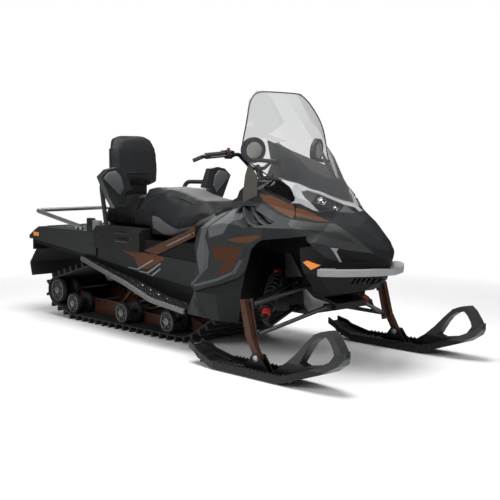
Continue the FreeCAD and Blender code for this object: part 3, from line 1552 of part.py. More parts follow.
def make_front_arms():
    """The lower and upper arms, the coil-over shocks and the spindles of the front end."""
    low, high = kingpin_points()
    mount = -float(S.frame_half_width + S.arm_bush_radius)
    low_inner = [
        Vector(float(S.low_arm_front), mount, float(S.low_arm_front_height)),
        Vector(float(S.low_arm_back), mount, float(S.low_arm_back_height)),
    ]
    high_inner = [
        Vector(float(S.high_arm_front), mount, float(S.high_arm_height)),
        Vector(float(S.high_arm_back), mount, float(S.high_arm_height)),
    ]
    head, foot = shock_points()
    along = (foot - head).normalize()
    share = (float(S.kingpin_spread) - float(S.shock_foot_spread)) / (
        float(S.kingpin_spread) + mount)
    links = [low + (inner - low) * share for inner in low_inner]
    tie = rod(links[0], links[1], S.arm_tube_radius)
    ledge_end = foot + along * float(S.shock_body_radius)
    ledge = rod(foot, ledge_end, S.shock_body_radius)
    stem = rod(ledge_end, (links[0] + links[1]) * 0.5, S.arm_tube_radius)
    lower = arm_shape(low, low_inner, [tie, ledge, stem])
    upper = arm_shape(high, high_inner, [])
    twins("front_arms", [lower, upper])
    shocks = [shock_shape(head, foot), shock_shape(across_point(head), across_point(foot))]
    feature("front_shocks", Part.makeCompound(shocks))
    pair("spindle", spindle_shape())


def across_point(here):
    """Return a point's twin on the other side of the machine."""
    return Vector(here.x, -here.y, here.z)


def shock_shape(head, foot):
    """Return a damper with its coiled spring as a rippled sleeve, between two seats."""
    span = (foot - head).Length
    body_radius = float(S.shock_body_radius)
    wire = float(S.spring_wire_radius)
    crest = float(S.spring_radius)
    root = crest - wire
    spring_start = span * SPRING_START_SHARE
    spring_end = span * SPRING_END_SHARE
    turns = int(float(S.spring_turns))
    pitch = (spring_end - spring_start) / turns
    profile = [
        (0, 0), (body_radius, 0), (body_radius, spring_start - wire), (crest, spring_start - wire),
        (crest, spring_start),
    ]
    for index in range(turns):
        low = spring_start + pitch * index
        profile.append((root, low + pitch * SPRING_ROOT_SHARE))
        profile.append((crest, low + pitch * SPRING_CREST_SHARE))
        profile.append((crest, low + pitch))
    profile += [(crest, spring_end + wire), (body_radius, spring_end + wire * 2),
                (body_radius, span), (0, span)]
    ring = [Vector(across_axis, 0, along) for across_axis, along in profile]
    solid = Part.Face(Part.makePolygon(ring + ring[:1])).revolve(
        Vector(0, 0, 0), Vector(0, 0, 1), 360)
    solid.Placement = FreeCAD.Placement(head, Rotation(Vector(0, 0, 1), foot - head))
    return solid


def spindle_shape():
    """Return the right spindle: king pin, two lugs and a blade down to the ski bolt."""
    low, high = kingpin_points()
    axis = (high - low).normalize()
    eye_half = float(S.eye_length) / 2 + float(S.pin_play)
    lug = float(S.kingpin_radius) * 1.6
    bottom = low - axis * (eye_half + lug)
    top = high + axis * (eye_half + lug)
    pin = rod(bottom, top, S.kingpin_radius)
    lugs = [
        rod(bottom, bottom + axis * lug, S.eye_radius),
        rod(top - axis * lug, top, S.eye_radius),
    ]
    outboard = Vector(0, -1, 0)
    shift = outboard * (float(S.ski_spread) - float(S.kingpin_spread))
    half_thick = float(S.spindle_blade_thickness) / 2
    links = []
    for start in (bottom, top - axis * lug):
        link = rod(start, start + axis * lug, S.eye_radius * 0.8)
        swept = Part.makeBox(2 * float(S.eye_radius) * 0.8, shift.Length, lug)
        swept.translate(Vector(-float(S.eye_radius) * 0.8, -shift.Length, 0))
        swept.Placement = FreeCAD.Placement(start, Rotation(Vector(0, 0, 1), axis)).multiply(
            swept.Placement)
        links.extend([link, swept])
    half = float(S.spindle_blade_width) / 2
    pivot = point(S.ski_pivot_front, -S.ski_spread, S.ski_pivot_height)
    left = Vector(1, 0, 0)
    blade_points = [
        top - left * half * 0.8, top + left * half * 0.8,
        low + left * half, pivot + left * float(S.ski_boss_radius) * 0.9,
        pivot - left * float(S.ski_boss_radius) * 0.9, low - left * half,
    ]
    outline = [(corner.x, corner.z) for corner in blade_points]
    blade = prism(outline, "XZ", pivot.y - half_thick, pivot.y + half_thick)
    boss = rod(Vector(pivot.x, pivot.y - half_thick, pivot.z),
               Vector(pivot.x, pivot.y + half_thick, pivot.z), S.ski_boss_radius)
    bolt_half = half_thick + float(S.pin_play) + float(S.ski_ear_thickness) * 1.8
    bolt = rod(Vector(pivot.x, pivot.y - bolt_half, pivot.z),
               Vector(pivot.x, pivot.y + bolt_half, pivot.z), S.ski_pivot_radius)
    return fused([pin, blade, boss, bolt] + lugs + links)


# Ski in side view, as shares of its length from the tail and of its tip's height.
SKI_SOLE_SHARES = (
    (0.0, 0.42), (0.062, 0.30), (0.085, 0.195), (0.20, 0.0), (0.67, 0.0), (0.777, 0.22),
    (0.896, 0.47), (0.975, 0.75), (1.0, 0.95),
)
SKI_PLAN_SHARES = (
    (0.0, 0.55), (0.06, 0.72), (0.22, 1.0), (0.72, 1.0), (0.90, 0.80), (0.985, 0.42), (1.0, 0.25),
)
SKI_LOOP_OUTER_SHARES = (
    (0.560, 0.06), (0.628, 0.26), (0.659, 0.327), (0.722, 0.518), (0.776, 0.716), (0.830, 0.896),
    (0.871, 0.957), (0.917, 0.986), (0.945, 0.903), (0.974, 0.755), (0.997, 0.608),
    (0.981, 0.514), (0.930, 0.421), (0.86, 0.14),
)
SKI_LOOP_INNER_SHARES = (
    (0.741, 0.356), (0.783, 0.601), (0.812, 0.734), (0.854, 0.838), (0.900, 0.881),
    (0.922, 0.809), (0.941, 0.687), (0.946, 0.612), (0.918, 0.478), (0.855, 0.374),
    (0.771, 0.324),
)


def ski_side(shares, rise):
    """Return side-view points of a ski from a table of shares and a height."""
    length = float(S.ski_tip_front - S.ski_tail_front)
    return [(float(S.ski_tail_front) + length * x, float(S.ski_sole_height) + float(rise) * z)
            for x, z in shares]


def make_skis():
    """The skis with their raised edges, front loops, saddles and steel runners."""
    middle = -float(S.ski_spread)
    half = float(S.ski_half_width)
    sole = ski_side(SKI_SOLE_SHARES, S.ski_tip_height - S.ski_sole_height)
    wall_top = [(x, z + float(S.ski_plate_thickness + S.ski_wall_height)) for x, z in sole]
    floor_top = [(x, z + float(S.ski_plate_thickness)) for x, z in sole]
    plan = scaled(SKI_PLAN_SHARES, S.ski_tip_front - S.ski_tail_front, S.ski_half_width)
    plan = [(float(S.ski_tail_front) + x, y) for x, y in plan]
    outline = [(x, middle + y) for x, y in plan] + [(x, middle - y) for x, y in reversed(plan)]
    wall = float(S.ski_wall_thickness)
    inner_plan = [(x, max(y - wall, wall)) for x, y in plan]
    inner_outline = [(x, middle + y) for x, y in inner_plan]
    inner_outline += [(x, middle - y) for x, y in reversed(inner_plan)]
    slab = prism(sole + list(reversed(wall_top)), "XZ", middle - half, middle + half)
    slab = slab.common(prism(outline, "XY", ZERO, S.ski_loop_top))
    well_top = [(x, z + float(S.overrun)) for x, z in wall_top]
    well = prism(floor_top + list(reversed(well_top)), "XZ", middle - half, middle + half)
    well = well.common(prism(inner_outline, "XY", ZERO, S.ski_loop_top + S.overrun))
    ski = slab.cut(well)
    loop_half = float(S.ski_loop_half_width)
    loop = prism(ski_side(SKI_LOOP_OUTER_SHARES, S.ski_loop_top - S.ski_sole_height), "XZ",
                 middle - loop_half, middle + loop_half)
    opening = prism(ski_side(SKI_LOOP_INNER_SHARES, S.ski_loop_top - S.ski_sole_height), "XZ",
                    middle - half, middle + half)
    under = prism(sole + [(sole[-1][0] + half, sole[-1][1]), (sole[-1][0] + half, -half),
                          (sole[0][0], -half)], "XZ", middle - half, middle + half)
    loop = loop.cut(opening).cut(under)
    pivot = point(S.ski_pivot_front, -S.ski_spread, S.ski_pivot_height)
    ears = []
    inner_gap = float(S.spindle_blade_thickness) / 2 + float(S.pin_play)
    ear_reach = float(S.ski_boss_radius)
    ear_view = [
        (pivot.x - ear_reach * 4, float(S.ski_sole_height + S.ski_plate_thickness * 0.5)),
        (pivot.x - ear_reach, pivot.z + ear_reach * 0.8),
        (pivot.x + ear_reach, pivot.z + ear_reach * 0.8),
        (pivot.x + ear_reach * 4, float(S.ski_sole_height + S.ski_plate_thickness * 0.5)),
    ]
    for side in (-1, 1):
        near = middle + side * inner_gap
        far = near + side * float(S.ski_ear_thickness)
        ear = prism(ear_view, "XZ", min(near, far), max(near, far))
        hole = cross_hole(pivot, S.ski_pivot_radius + S.pin_play)
        ears.append(ear.cut(hole))
    ski = fused([ski, loop] + ears)
    runner = Part.makeBox(float(S.runner_front - S.runner_back), float(S.runner_width),
                          float(S.ski_sole_height),
                          Vector(float(S.runner_back), middle - float(S.runner_width) / 2, 0))
    pair("ski", ski)
    pair("ski_runner", runner)


def cross_hole(pivot, radius):
    """Return the cutter of a bore that runs across a ski's saddle."""
    reach = Vector(0, float(S.ski_half_width), 0)
    return rod(pivot - reach, pivot + reach, radius)


# Steering

def make_handlebar():
    """The steering column, the bar, its grips and the hand controls."""
    axis = column_axis()
    base = point(S.column_front, ZERO, S.column_height) + axis * float(S.pin_play)
    clamp = point(S.bar_clamp_front, ZERO, S.bar_clamp_height)
    column = rod(base, clamp + axis * float(S.column_radius), S.column_radius)
    half = float(S.bar_half_width)
    rise = float(S.bar_clamp_height)
    front = float(S.bar_clamp_front)
    radius = float(S.bar_bend_radius)
    left_corners = [
        Vector(front, half * 0.12, rise), Vector(front + half * 0.03, half * 0.40, rise * 1.078),
        Vector(front - half * 0.04, half * 0.66, rise * 1.078),
        Vector(front - half * 0.12, half * 0.93, rise * 1.068),
        Vector(front - half * 0.26, half * 1.0, rise * 1.045),
    ]
    right_corners = [Vector(corner.x, -corner.y, corner.z) for corner in reversed(left_corners)]
    bar = round_tube(right_corners + left_corners, S.bar_radius, radius * 0.6)
    feature("handlebar", fused([column, bar]))
    grips = []
    for side in (-1, 1):
        start = Vector(left_corners[2].x, left_corners[2].y * side, left_corners[2].z)
        end = Vector(left_corners[3].x, left_corners[3].y * side, left_corners[3].z)
        along = (end - start).normalize()
        grip_start = end - along * float(S.grip_length)
        grip = rod(grip_start, end - along * radius * 0.25, S.grip_radius)
        grips.append(grip.cut(bar))
    controls = grips
    for side in (-1, 1):
        start = Vector(left_corners[1].x, left_corners[1].y * side, left_corners[1].z)
        end = Vector(left_corners[2].x, left_corners[2].y * side, left_corners[2].z)
        along = (end - start).normalize()
        middle = start + (end - start) * 0.62
        pod = rod(middle - along * float(S.grip_radius), middle + along * float(S.grip_radius),
                  S.grip_radius * 1.45)
        controls.append(pod.cut(bar))
    feature("hand_controls", Part.makeCompound(controls))


# Seats

def seat_rings(back, front, shares, half_width, top):
    """Return cross rings of a cushion from shares of its place, half widths and heights."""
    rings = []
    length = float(front) - float(back)
    for place, low_share, low_half, top_share, top_half in shares:
        x = float(back) + length * place
        low = float(top) * low_share
        high = float(top) * top_share
        wide = float(half_width) * low_half
        narrow = float(half_width) * top_half
        waist = low + (high - low) * 0.35
        rings.append([
            Vector(x, -wide, low), Vector(x, -wide, waist), Vector(x, -narrow, high),
            Vector(x, narrow, high), Vector(x, wide, waist), Vector(x, wide, low),
        ])
    return rings


DRIVER_SEAT_SHARES = (
    (0.00, 0.725, 0.93, 1.000, 0.52), (0.33, 0.668, 1.00, 0.985, 0.55),
    (0.64, 0.672, 1.00, 0.932, 0.52), (0.82, 0.725, 0.80, 0.913, 0.42),
    (1.00, 0.793, 0.52, 0.845, 0.28),
)
PASSENGER_SEAT_SHARES = (
    (0.00, 0.772, 0.90, 0.985, 0.70), (0.50, 0.772, 1.00, 1.000, 0.80),
    (1.00, 0.772, 1.00, 1.000, 0.80),
)


def make_seats():
    """The seat base with its side boxes, the two cushions and the backrest."""
    base = new_body("seat_base")
    half = S.seat_base_half_width
    inner = S.tunnel_half_width
    section = new_sketch(base, "YZ_Plane", -S.seat_base_back + S.seat_gap)
    draw_outline(section, [
        (-half, S.seat_base_low), (-half, S.seat_base_top - S.rail_depth),
        (-half + S.rail_depth, S.seat_base_top), (half - S.rail_depth, S.seat_base_top),
        (half, S.seat_base_top - S.rail_depth), (half, S.seat_base_low),
        (inner, S.seat_base_low), (inner, S.tunnel_top), (-inner, S.tunnel_top),
        (-inner, S.seat_base_low),
    ])
    add_pad(base, section, S.seat_base_back - S.driver_seat_back * 0.55)
    keep(base)
    gap = float(S.seat_gap) / 2
    driver = ruled_loft(seat_rings(-S.driver_seat_back, S.driver_seat_front,
                                   DRIVER_SEAT_SHARES, S.driver_seat_half_width,
                                   S.driver_seat_top))
    below = base.Shape.copy()
    below.translate(Vector(0, 0, gap))
    slab = Part.makeBox(float(S.tunnel_back), 2 * float(S.seat_base_half_width),
                        float(S.tunnel_top) + gap,
                        Vector(-float(S.tunnel_back) / 2, -float(S.seat_base_half_width), 0))
    feature("driver_seat", driver.cut(below).cut(slab))
    passenger = ruled_loft(seat_rings(
        -S.passenger_seat_back, -S.driver_seat_back - S.seat_gap, PASSENGER_SEAT_SHARES,
        S.passenger_seat_half_width, S.passenger_seat_top))
    feature("passenger_seat", passenger.cut(below))
    make_backrest()


# The backrest pad, as shares of its half width, height and depth: its face, plan and side view.
BACKREST_FACE_SHARES = (
    (0.60, 0.0), (0.90, 0.06), (1.0, 0.30), (1.0, 0.52), (0.93, 0.75), (0.78, 0.90),
    (0.50, 0.985), (0.20, 1.0),
)
BACKREST_PLAN_SHARES = ((0.0, 0.80), (0.12, 1.0), (0.49, 0.97), (0.89, 0.78), (1.0, 0.62))
BACKREST_SIDE_SHARES = (
    (0.0, 0.0), (0.02, 0.247), (0.20, 0.70), (0.41, 0.92), (0.59, 1.0), (0.85, 1.0),
    (1.0, 0.81), (1.0, 0.0),
)
BACKREST_POST_SHARE = 0.7
# The right guard's face, as shares of its half width and height.
GUARD_FACE_SHARES = (
    (-1.0, 0.775), (-0.55, 0.95), (0.0, 1.0), (0.55, 0.955), (1.0, 0.455), (0.58, 0.40),
    (-0.12, 0.0), (-0.45, 0.24),
)


def backrest_pad_shape():
    """Return the backrest pad, rounded in its face, its plan and its side view."""
    low = float(S.backrest_low)
    height = float(S.backrest_top - S.backrest_low)
    half = float(S.backrest_half_width)
    front = -float(S.backrest_front)
    depth = float(S.backrest_depth)
    face = [(half * y, low + height * z) for y, z in BACKREST_FACE_SHARES]
    face += [(-y, z) for y, z in reversed(face)]
    plan = [(front - depth * x, half * y) for x, y in BACKREST_PLAN_SHARES]
    plan += [(x, -y) for x, y in reversed(plan)]
    side = [(front - depth * x, low + height * z) for x, z in BACKREST_SIDE_SHARES]
    pad = prism(face, "YZ", front - depth, front)
    pad = pad.common(prism(plan, "XY", low, low + height))
    return pad.common(prism(side, "XZ", -half, half))


def hand_guard_shape():
    """Return the right hand guard: a bent tube on its flange and a hollow shield before it."""
    foot_up = S.seat_base_top + S.hand_bar_flange_thickness * 0.5
    foot = point(-S.hand_bar_back, -S.hand_bar_foot_spread, foot_up)
    knee = point(-S.hand_bar_back, -S.hand_bar_knee_spread, S.hand_bar_height)
    end = point(-S.guard_front - S.guard_wall, -S.guard_spread, S.hand_bar_height)
    bar = round_tube([foot, knee, end], S.hand_bar_radius, S.hand_bar_bend_radius)
    flange_foot = point(-S.hand_bar_back, -S.hand_bar_foot_spread, S.seat_base_top)
    flange_head = point(-S.hand_bar_back, -S.hand_bar_foot_spread,
                        S.seat_base_top + S.hand_bar_flange_thickness)
    flange = rod(flange_foot, flange_head, S.hand_bar_flange_radius)
    height = float(S.guard_top - S.guard_low)
    face = [(-float(S.guard_spread) + float(S.guard_half_width) * y,
             float(S.guard_low) + height * z) for y, z in GUARD_FACE_SHARES]
    back = -float(S.guard_front + S.guard_depth)
    shield = prism(face, "YZ", back, -float(S.guard_front))
    hollow = prism(inset(face, float(S.guard_wall)), "YZ", back,
                   -float(S.guard_front + S.guard_wall))
    return fused([shield.cut(hollow), bar, flange])


def make_backrest():
    """The backrest pad on its two posts, and the passenger's hand bars with their guards."""
    feature("backrest_pad", backrest_pad_shape())
    height = float(S.backrest_top - S.backrest_low)
    post_front = -float(S.backrest_post_back)
    deck_top = float(S.tunnel_top + S.deck_thickness)
    posts = []
    for side in (-1, 1):
        left = float(S.backrest_post_spread) * side - float(S.backrest_post_width) / 2
        posts.append(Part.makeBox(
            float(S.backrest_post_depth), float(S.backrest_post_width),
            float(S.backrest_low) + height * BACKREST_POST_SHARE - deck_top,
            Vector(post_front - float(S.backrest_post_depth), left, deck_top)))
    tie = Part.makeBox(
        float(S.backrest_post_depth), 2 * float(S.backrest_post_spread),
        float(S.backrest_post_width),
        Vector(post_front - float(S.backrest_post_depth), -float(S.backrest_post_spread),
               float(S.hand_bar_height)))
    feature("backrest_frame", fused(posts + [tie]))
    twins("hand_guards", [hand_guard_shape()])


def make_reflector():
    """Return the right amber reflector on the deck's skirt."""
    start = S.tunnel_half_width + S.deck_skirt_thickness
    low = S.tunnel_top - S.reflector_height * 1.5
    back = -S.deck_back + S.reflector_length
    reflector = plate("reflector_form", "XZ_Plane", [
        (back, low), (back + S.reflector_length, low),
        (back + S.reflector_length, low + S.reflector_height), (back, low + S.reflector_height),
    ], start, S.reflector_thickness)
    return reflector.Shape.copy()


def make_all():
    """Build every piece of the machine."""
    make_tunnel()
    make_running_boards()
    make_tunnel_covers()
    make_braces()
    make_deck()
    make_rack()
    make_tail()
    make_track()
    make_wheels()
    make_skid()
    outer, flange, intakes = make_bodywork()
    fairing = make_windshield(outer, flange, intakes)
    make_mirrors(fairing.copy())
    make_console()
    make_front_frame()
    make_front_arms()
    make_skis()
    make_handlebar()
    make_seats()


def check_document():
    """Stop if any object failed, or if a piece has no sound solid."""
    doc.recompute()
    for item in doc.Objects:
        if "Invalid" in item.State or "Error" in item.State:
            raise RuntimeError(item.Label + " did not build: " + str(item.State))
    for item in nodes:
        shape = item.Shape
        if shape.isNull() or not shape.isValid() or not shape.Solids:
            raise RuntimeError(item.Label + " has no valid solid")


def write_pieces():
    """Write one STEP file per piece."""
    os.makedirs("parts", exist_ok=True)
    for item in nodes:
        item.Shape.exportStep("parts/" + item.Label + ".step")
        print(item.Label, len(item.Shape.Solids), "solids", round(item.Shape.Volume / 1000), "cm3")


make_all()
check_document()
write_pieces()
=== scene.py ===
"""Looks of a two-up utility snowmobile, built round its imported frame.

Everything is in metres in the frame of the part: +X forward, +Y to the machine's left, +Z up.
"""

import logging
import math
from collections.abc import Callable, Sequence
from dataclasses import dataclass
from enum import Enum

import bmesh
import bpy
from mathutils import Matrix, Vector
from mathutils.bvhtree import BVHTree


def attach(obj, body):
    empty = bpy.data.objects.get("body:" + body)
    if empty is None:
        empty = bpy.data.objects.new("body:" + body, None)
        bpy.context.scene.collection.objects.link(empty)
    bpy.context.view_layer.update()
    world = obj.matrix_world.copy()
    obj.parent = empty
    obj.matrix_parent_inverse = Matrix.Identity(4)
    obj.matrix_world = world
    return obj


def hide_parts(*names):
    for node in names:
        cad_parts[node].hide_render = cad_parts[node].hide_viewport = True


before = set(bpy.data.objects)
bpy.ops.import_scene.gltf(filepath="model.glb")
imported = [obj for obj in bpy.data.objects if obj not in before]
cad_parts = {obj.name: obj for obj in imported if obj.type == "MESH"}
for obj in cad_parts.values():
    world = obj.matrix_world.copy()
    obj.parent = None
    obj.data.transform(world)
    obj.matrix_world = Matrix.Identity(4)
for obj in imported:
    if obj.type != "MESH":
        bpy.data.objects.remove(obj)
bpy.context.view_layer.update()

log = logging.getLogger("snowmobile")

Colour = tuple[float, float, float]
Point = tuple[float, float, float]
Flat = tuple[float, float]
Pair = tuple[float, float]
Piece = bpy.types.Object
Material = bpy.types.Material
Socket = bpy.types.NodeSocket


class Plane(Enum):
    """The plane that a flat outline is drawn in."""

    SIDE = "XZ"
    TOP = "XY"
    FRONT = "YZ"


# Shader maths


class Sock:
    """A number in a shader, which takes part in Python expressions."""

    def __init__(self, graph: "Graph", source: object) -> None:
        """Hold one output of a graph's nodes."""
        self.graph = graph
        self.source = source

    def maths(self, operation: str, *others: object, clamp: bool = False) -> "Sock":
        """Run this number through one Math node with others.

        Args:
            operation: the node's operation.
            others: its further inputs, as numbers or sockets.
            clamp: whether the result is held between 0 and 1.

        Returns:
            The result.
        """
        settings = {"operation": operation, "use_clamp": clamp}
        sockets = dict(enumerate([self, *others]))
        return self.graph.number("ShaderNodeMath", settings, sockets)

    def __add__(self, other: object) -> "Sock":
        """Return the sum."""
        return self.maths("ADD", other)

    __radd__ = __add__

    def __sub__(self, other: object) -> "Sock":
        """Return the difference."""
        return self.maths("SUBTRACT", other)

    def __rsub__(self, other: object) -> "Sock":
        """Return a plain number minus this one."""
        return self.maths("MULTIPLY_ADD", -1.0, other)

    def __mul__(self, other: object) -> "Sock":
        """Return the product."""
        return self.maths("MULTIPLY", other)

    __rmul__ = __mul__

    def __truediv__(self, other: object) -> "Sock":
        """Return the quotient."""
        return self.maths("DIVIDE", other)

    def __neg__(self) -> "Sock":
        """Return this number with its sign turned."""
        return self * -1.0

    def __pow__(self, power: object) -> "Sock":
        """Return this number to a power."""
        return self.maths("POWER", power)

    def __abs__(self) -> "Sock":
        """Return the size of this number."""
        return self.maths("ABSOLUTE")

    def least(self, other: object) -> "Sock":
        """Return the smaller of two numbers."""
        return self.maths("MINIMUM", other)

    def most(self, other: object) -> "Sock":
        """Return the larger of two numbers."""
        return self.maths("MAXIMUM", other)

    def held(self) -> "Sock":
        """Return this number held between 0 and 1."""
        return self.maths("ADD", 0.0, clamp=True)

    def step(self, threshold: object, softness: float = 0.0008) -> "Sock":
        """Return 0 below the threshold and 1 above it, over a narrow ramp."""
        return ((self - threshold) / softness + 0.5).held()

    def wave(self) -> "Sock":
        """Return the sine of this number."""
        return self.maths("SINE")


class Graph:
    """The node tree of one material."""

    edge_samples: int = 6
    edge_gain: float = 6.0

    def __init__(self, name: str) -> None:
        """Start a new material with an empty tree.

        Args:
            name: the material's name.
        """
        self.material = bpy.data.materials.new(name)
        self.material.use_nodes = True
        self.tree = self.material.node_tree
        self.tree.nodes.clear()

    def node(self, kind: str, settings: dict[str, object], sockets: dict) -> bpy.types.Node:
        """Add a node.

        Args:
            kind: the node's type.
            settings: its own settings, which are set first.
            sockets: values or links, by a socket's name or number.

        Returns:
            The node.
        """
        made = self.tree.nodes.new(kind)
        for name, value in settings.items():
            if name == "stops":
                self.set_stops(made, value)
            else:
                setattr(made, name, value)
        for key, value in sockets.items():
            entry = made.inputs[key]
            if isinstance(value, Sock):
                value = value.source
            if isinstance(value, Socket):
                self.tree.links.new(value, entry)
            elif entry.type == "RGBA" and len(value) == 3:
                entry.default_value = (*value, 1.0)
            else:
                entry.default_value = value
        return made

    def set_stops(self, ramp: bpy.types.Node, stops: Sequence[tuple[float, Colour]]) -> None:
        """Give a colour ramp its stops.

        Args:
            ramp: the colour ramp.
            stops: the place and the colour of each stop.
        """
        elements = ramp.color_ramp.elements
        while len(elements) < len(stops):
            elements.new(0.5)
        for element, (place, colour) in zip(elements, stops):
            element.position = place
            element.color = (*colour, 1.0)

    def number(self, kind: str, settings: dict[str, object], sockets: dict,
               output: int | str = 0) -> Sock:
        """Add a node and return one of its outputs as a number."""
        return Sock(self, self.node(kind, settings, sockets).outputs[output])

    def place(self) -> Socket:
        """Return the object coordinates."""
        return self.node("ShaderNodeTexCoord", {}, {}).outputs["Object"]

    def axes(self) -> tuple[Sock, Sock, Sock]:
        """Return the three object coordinates."""
        split = self.node("ShaderNodeSeparateXYZ", {}, {0: self.place()})
        return tuple(Sock(self, output) for output in split.outputs)

    def stretched(self, scale: Point) -> Socket:
        """Return the object coordinates, stretched along each axis."""
        sockets = {"Vector": self.place(), "Scale": scale}
        return self.node("ShaderNodeMapping", {}, sockets).outputs[0]

    def noise(self, scale: float, detail: float = 3.0, vector: object = None) -> Sock:
        """Return soft noise between 0 and 1."""
        sockets = {"Vector": vector or self.place(), "Scale": scale, "Detail": detail}
        return self.number("ShaderNodeTexNoise", {}, sockets)

    def cells(self, scale: float, feature: str = "F1", vector: object = None) -> Sock:
        """Return the distance pattern of Voronoi cells."""
        sockets = {"Vector": vector or self.place(), "Scale": scale}
        return self.number("ShaderNodeTexVoronoi", {"feature": feature}, sockets)

    def mix(self, share: object, first: object, second: object) -> Socket:
        """Return a colour between two colours."""
        made = self.node("ShaderNodeMix", {"data_type": "RGBA"}, {0: share, 6: first, 7: second})
        return made.outputs[2]

    def edge(self, radius: float) -> tuple[Socket, Sock]:
        """Round the normal at edges.

        Args:
            radius: how wide the rounding is.

        Returns:
            The rounded normal, and how near a point is to an edge.
        """
        settings = {"samples": self.edge_samples}
        soft = self.node("ShaderNodeBevel", settings, {"Radius": radius}).outputs[0]
        true = self.node("ShaderNodeNewGeometry", {}, {}).outputs["Normal"]
        dot = self.node("ShaderNodeVectorMath", {"operation": "DOT_PRODUCT"}, {0: soft, 1: true})
        return soft, ((1.0 - Sock(self, dot.outputs["Value"])) * self.edge_gain).held()

    def bump(self, height: Sock, depth: float, normal: object = None) -> Socket:
        """Roughen a normal by a height.

        Args:
            height: the height, between 0 and 1.
            depth: what a height of 1 measures in metres.
            normal: the normal to roughen, or the surface's own.

        Returns:
            The roughened normal.
        """
        sockets = {"Height": height, "Distance": depth, "Strength": 1.0}
        if normal is not None:
            sockets["Normal"] = normal
        return self.node("ShaderNodeBump", {}, sockets).outputs[0]

    def surface(self, sockets: dict[str, object]) -> Material:
        """Finish the material with one principled shader.

        Args:
            sockets: the shader's values or links, by a socket's name.

        Returns:
            The material.
        """
        shader = self.node("ShaderNodeBsdfPrincipled", {}, sockets)
        self.node("ShaderNodeOutputMaterial", {}, {"Surface": shader.outputs[0]})
        return self.material

    def inside(self, across: Sock, up: Sock, outline: Sequence[Flat],
               soft: float = 0.0012) -> Sock:
        """Tell the inside of a convex outline from its outside.

        Args:
            across: the place across the view.
            up: the place up the view.
            outline: the corners in that view, in either turn.
            soft: how wide the ramp at the edge is.

        Returns:
            1 inside the outline and 0 outside it.
        """
        count = len(outline)
        area = sum(outline[i][0] * outline[(i + 1) % count][1]
                   - outline[(i + 1) % count][0] * outline[i][1] for i in range(count))
        turn = 1.0 if area > 0 else -1.0
        result: Sock | None = None
        for index in range(count):
            x0, z0 = outline[index]
            x1, z1 = outline[(index + 1) % count]
            length = math.hypot(x1 - x0, z1 - z0)
            nx = -(z1 - z0) / length * turn
            nz = (x1 - x0) / length * turn
            depth = (across * nx + up * nz).step(x0 * nx + z0 * nz, soft)
            result = depth if result is None else result.least(depth)
        return result


# Finishes


@dataclass(frozen=True)
class Decal:
    """A flat coloured shape on a panel, drawn in one plane."""

    outline: tuple[Flat, ...]
    colour: Colour
    plane: Plane = Plane.SIDE


def painted(graph: Graph, colour: object, decals: Sequence[Decal]) -> object:
    """Lay decals over a colour.

    Args:
        graph: the material's graph.
        colour: the colour below.
        decals: the shapes, the last one on top.

    Returns:
        The colour with the decals.
    """
    if not decals:
        return colour
    x, y, z = graph.axes()
    views = {Plane.SIDE: (x, z), Plane.TOP: (x, abs(y)), Plane.FRONT: (abs(y), z)}
    for decal in decals:
        across, up = views[decal.plane]
        colour = graph.mix(graph.inside(across, up, decal.outline), colour, decal.colour)
    return colour


@dataclass(frozen=True)
class Moulded:
    """Moulded or painted plastic with a fine grain, faint mottling and a painted highlight along
    its edges.
    """

    name: str
    colour: Colour
    roughness: float = 0.45
    grain: float = 900.0
    grain_depth: float = 0.00012
    coat: float = 0.0
    metallic: float = 0.0
    edge_radius: float = 0.003
    edge_light: float = 0.35
    mottle: float = 0.12
    specular: float = 0.38
    decals: tuple[Decal, ...] = ()
    patches: Pair = (7.0, 4.0)
    highlight_lift: float = 0.22
    highlight_breakup: Pair = (60.0, 5.0)
    breakup_ramp: Pair = (0.42, 0.25)
    haze: Pair = (22.0, 4.0)
    haze_share: float = 0.16
    coat_roughness: float = 0.12

    def base(self, graph: Graph, edge: Sock) -> object:
        """Mix the colour: mottled, with its decals, and lighter along edges as a painted
        highlight.

        Args:
            graph: the material's graph.
            edge: how near a point is to an edge.

        Returns:
            The colour.
        """
        dark, light = (tuple(part * (1 + shift) for part in self.colour)
                       for shift in (-self.mottle, self.mottle))
        colour = painted(graph, graph.mix(graph.noise(*self.patches), dark, light), self.decals)
        # Painted highlight: edges are lightened in broken patches, standing in for light caught on
        # them.
        highlit = tuple(min(1.0, part + self.edge_light * self.highlight_lift) for part in self.colour)
        breakup = graph.noise(*self.highlight_breakup).step(*self.breakup_ramp)
        return graph.mix(edge * breakup * self.edge_light, colour, highlit)

    def material(self) -> Material:
        """Make the material.

        Returns:
            The finished material.
        """
        graph = Graph(self.name)
        normal, edge = graph.edge(self.edge_radius)
        haze = graph.noise(*self.haze) * self.haze_share + (self.roughness - self.haze_share / 2)
        bumped = graph.bump(graph.noise(self.grain, 2.0), self.grain_depth, normal)
        return graph.surface({
            "Base Color": self.base(graph, edge), "Roughness": haze.held(), "Normal": bumped,
            "Metallic": self.metallic, "Coat Weight": self.coat,
            "Coat Roughness": self.coat_roughness, "Specular IOR Level": self.specular,
        })


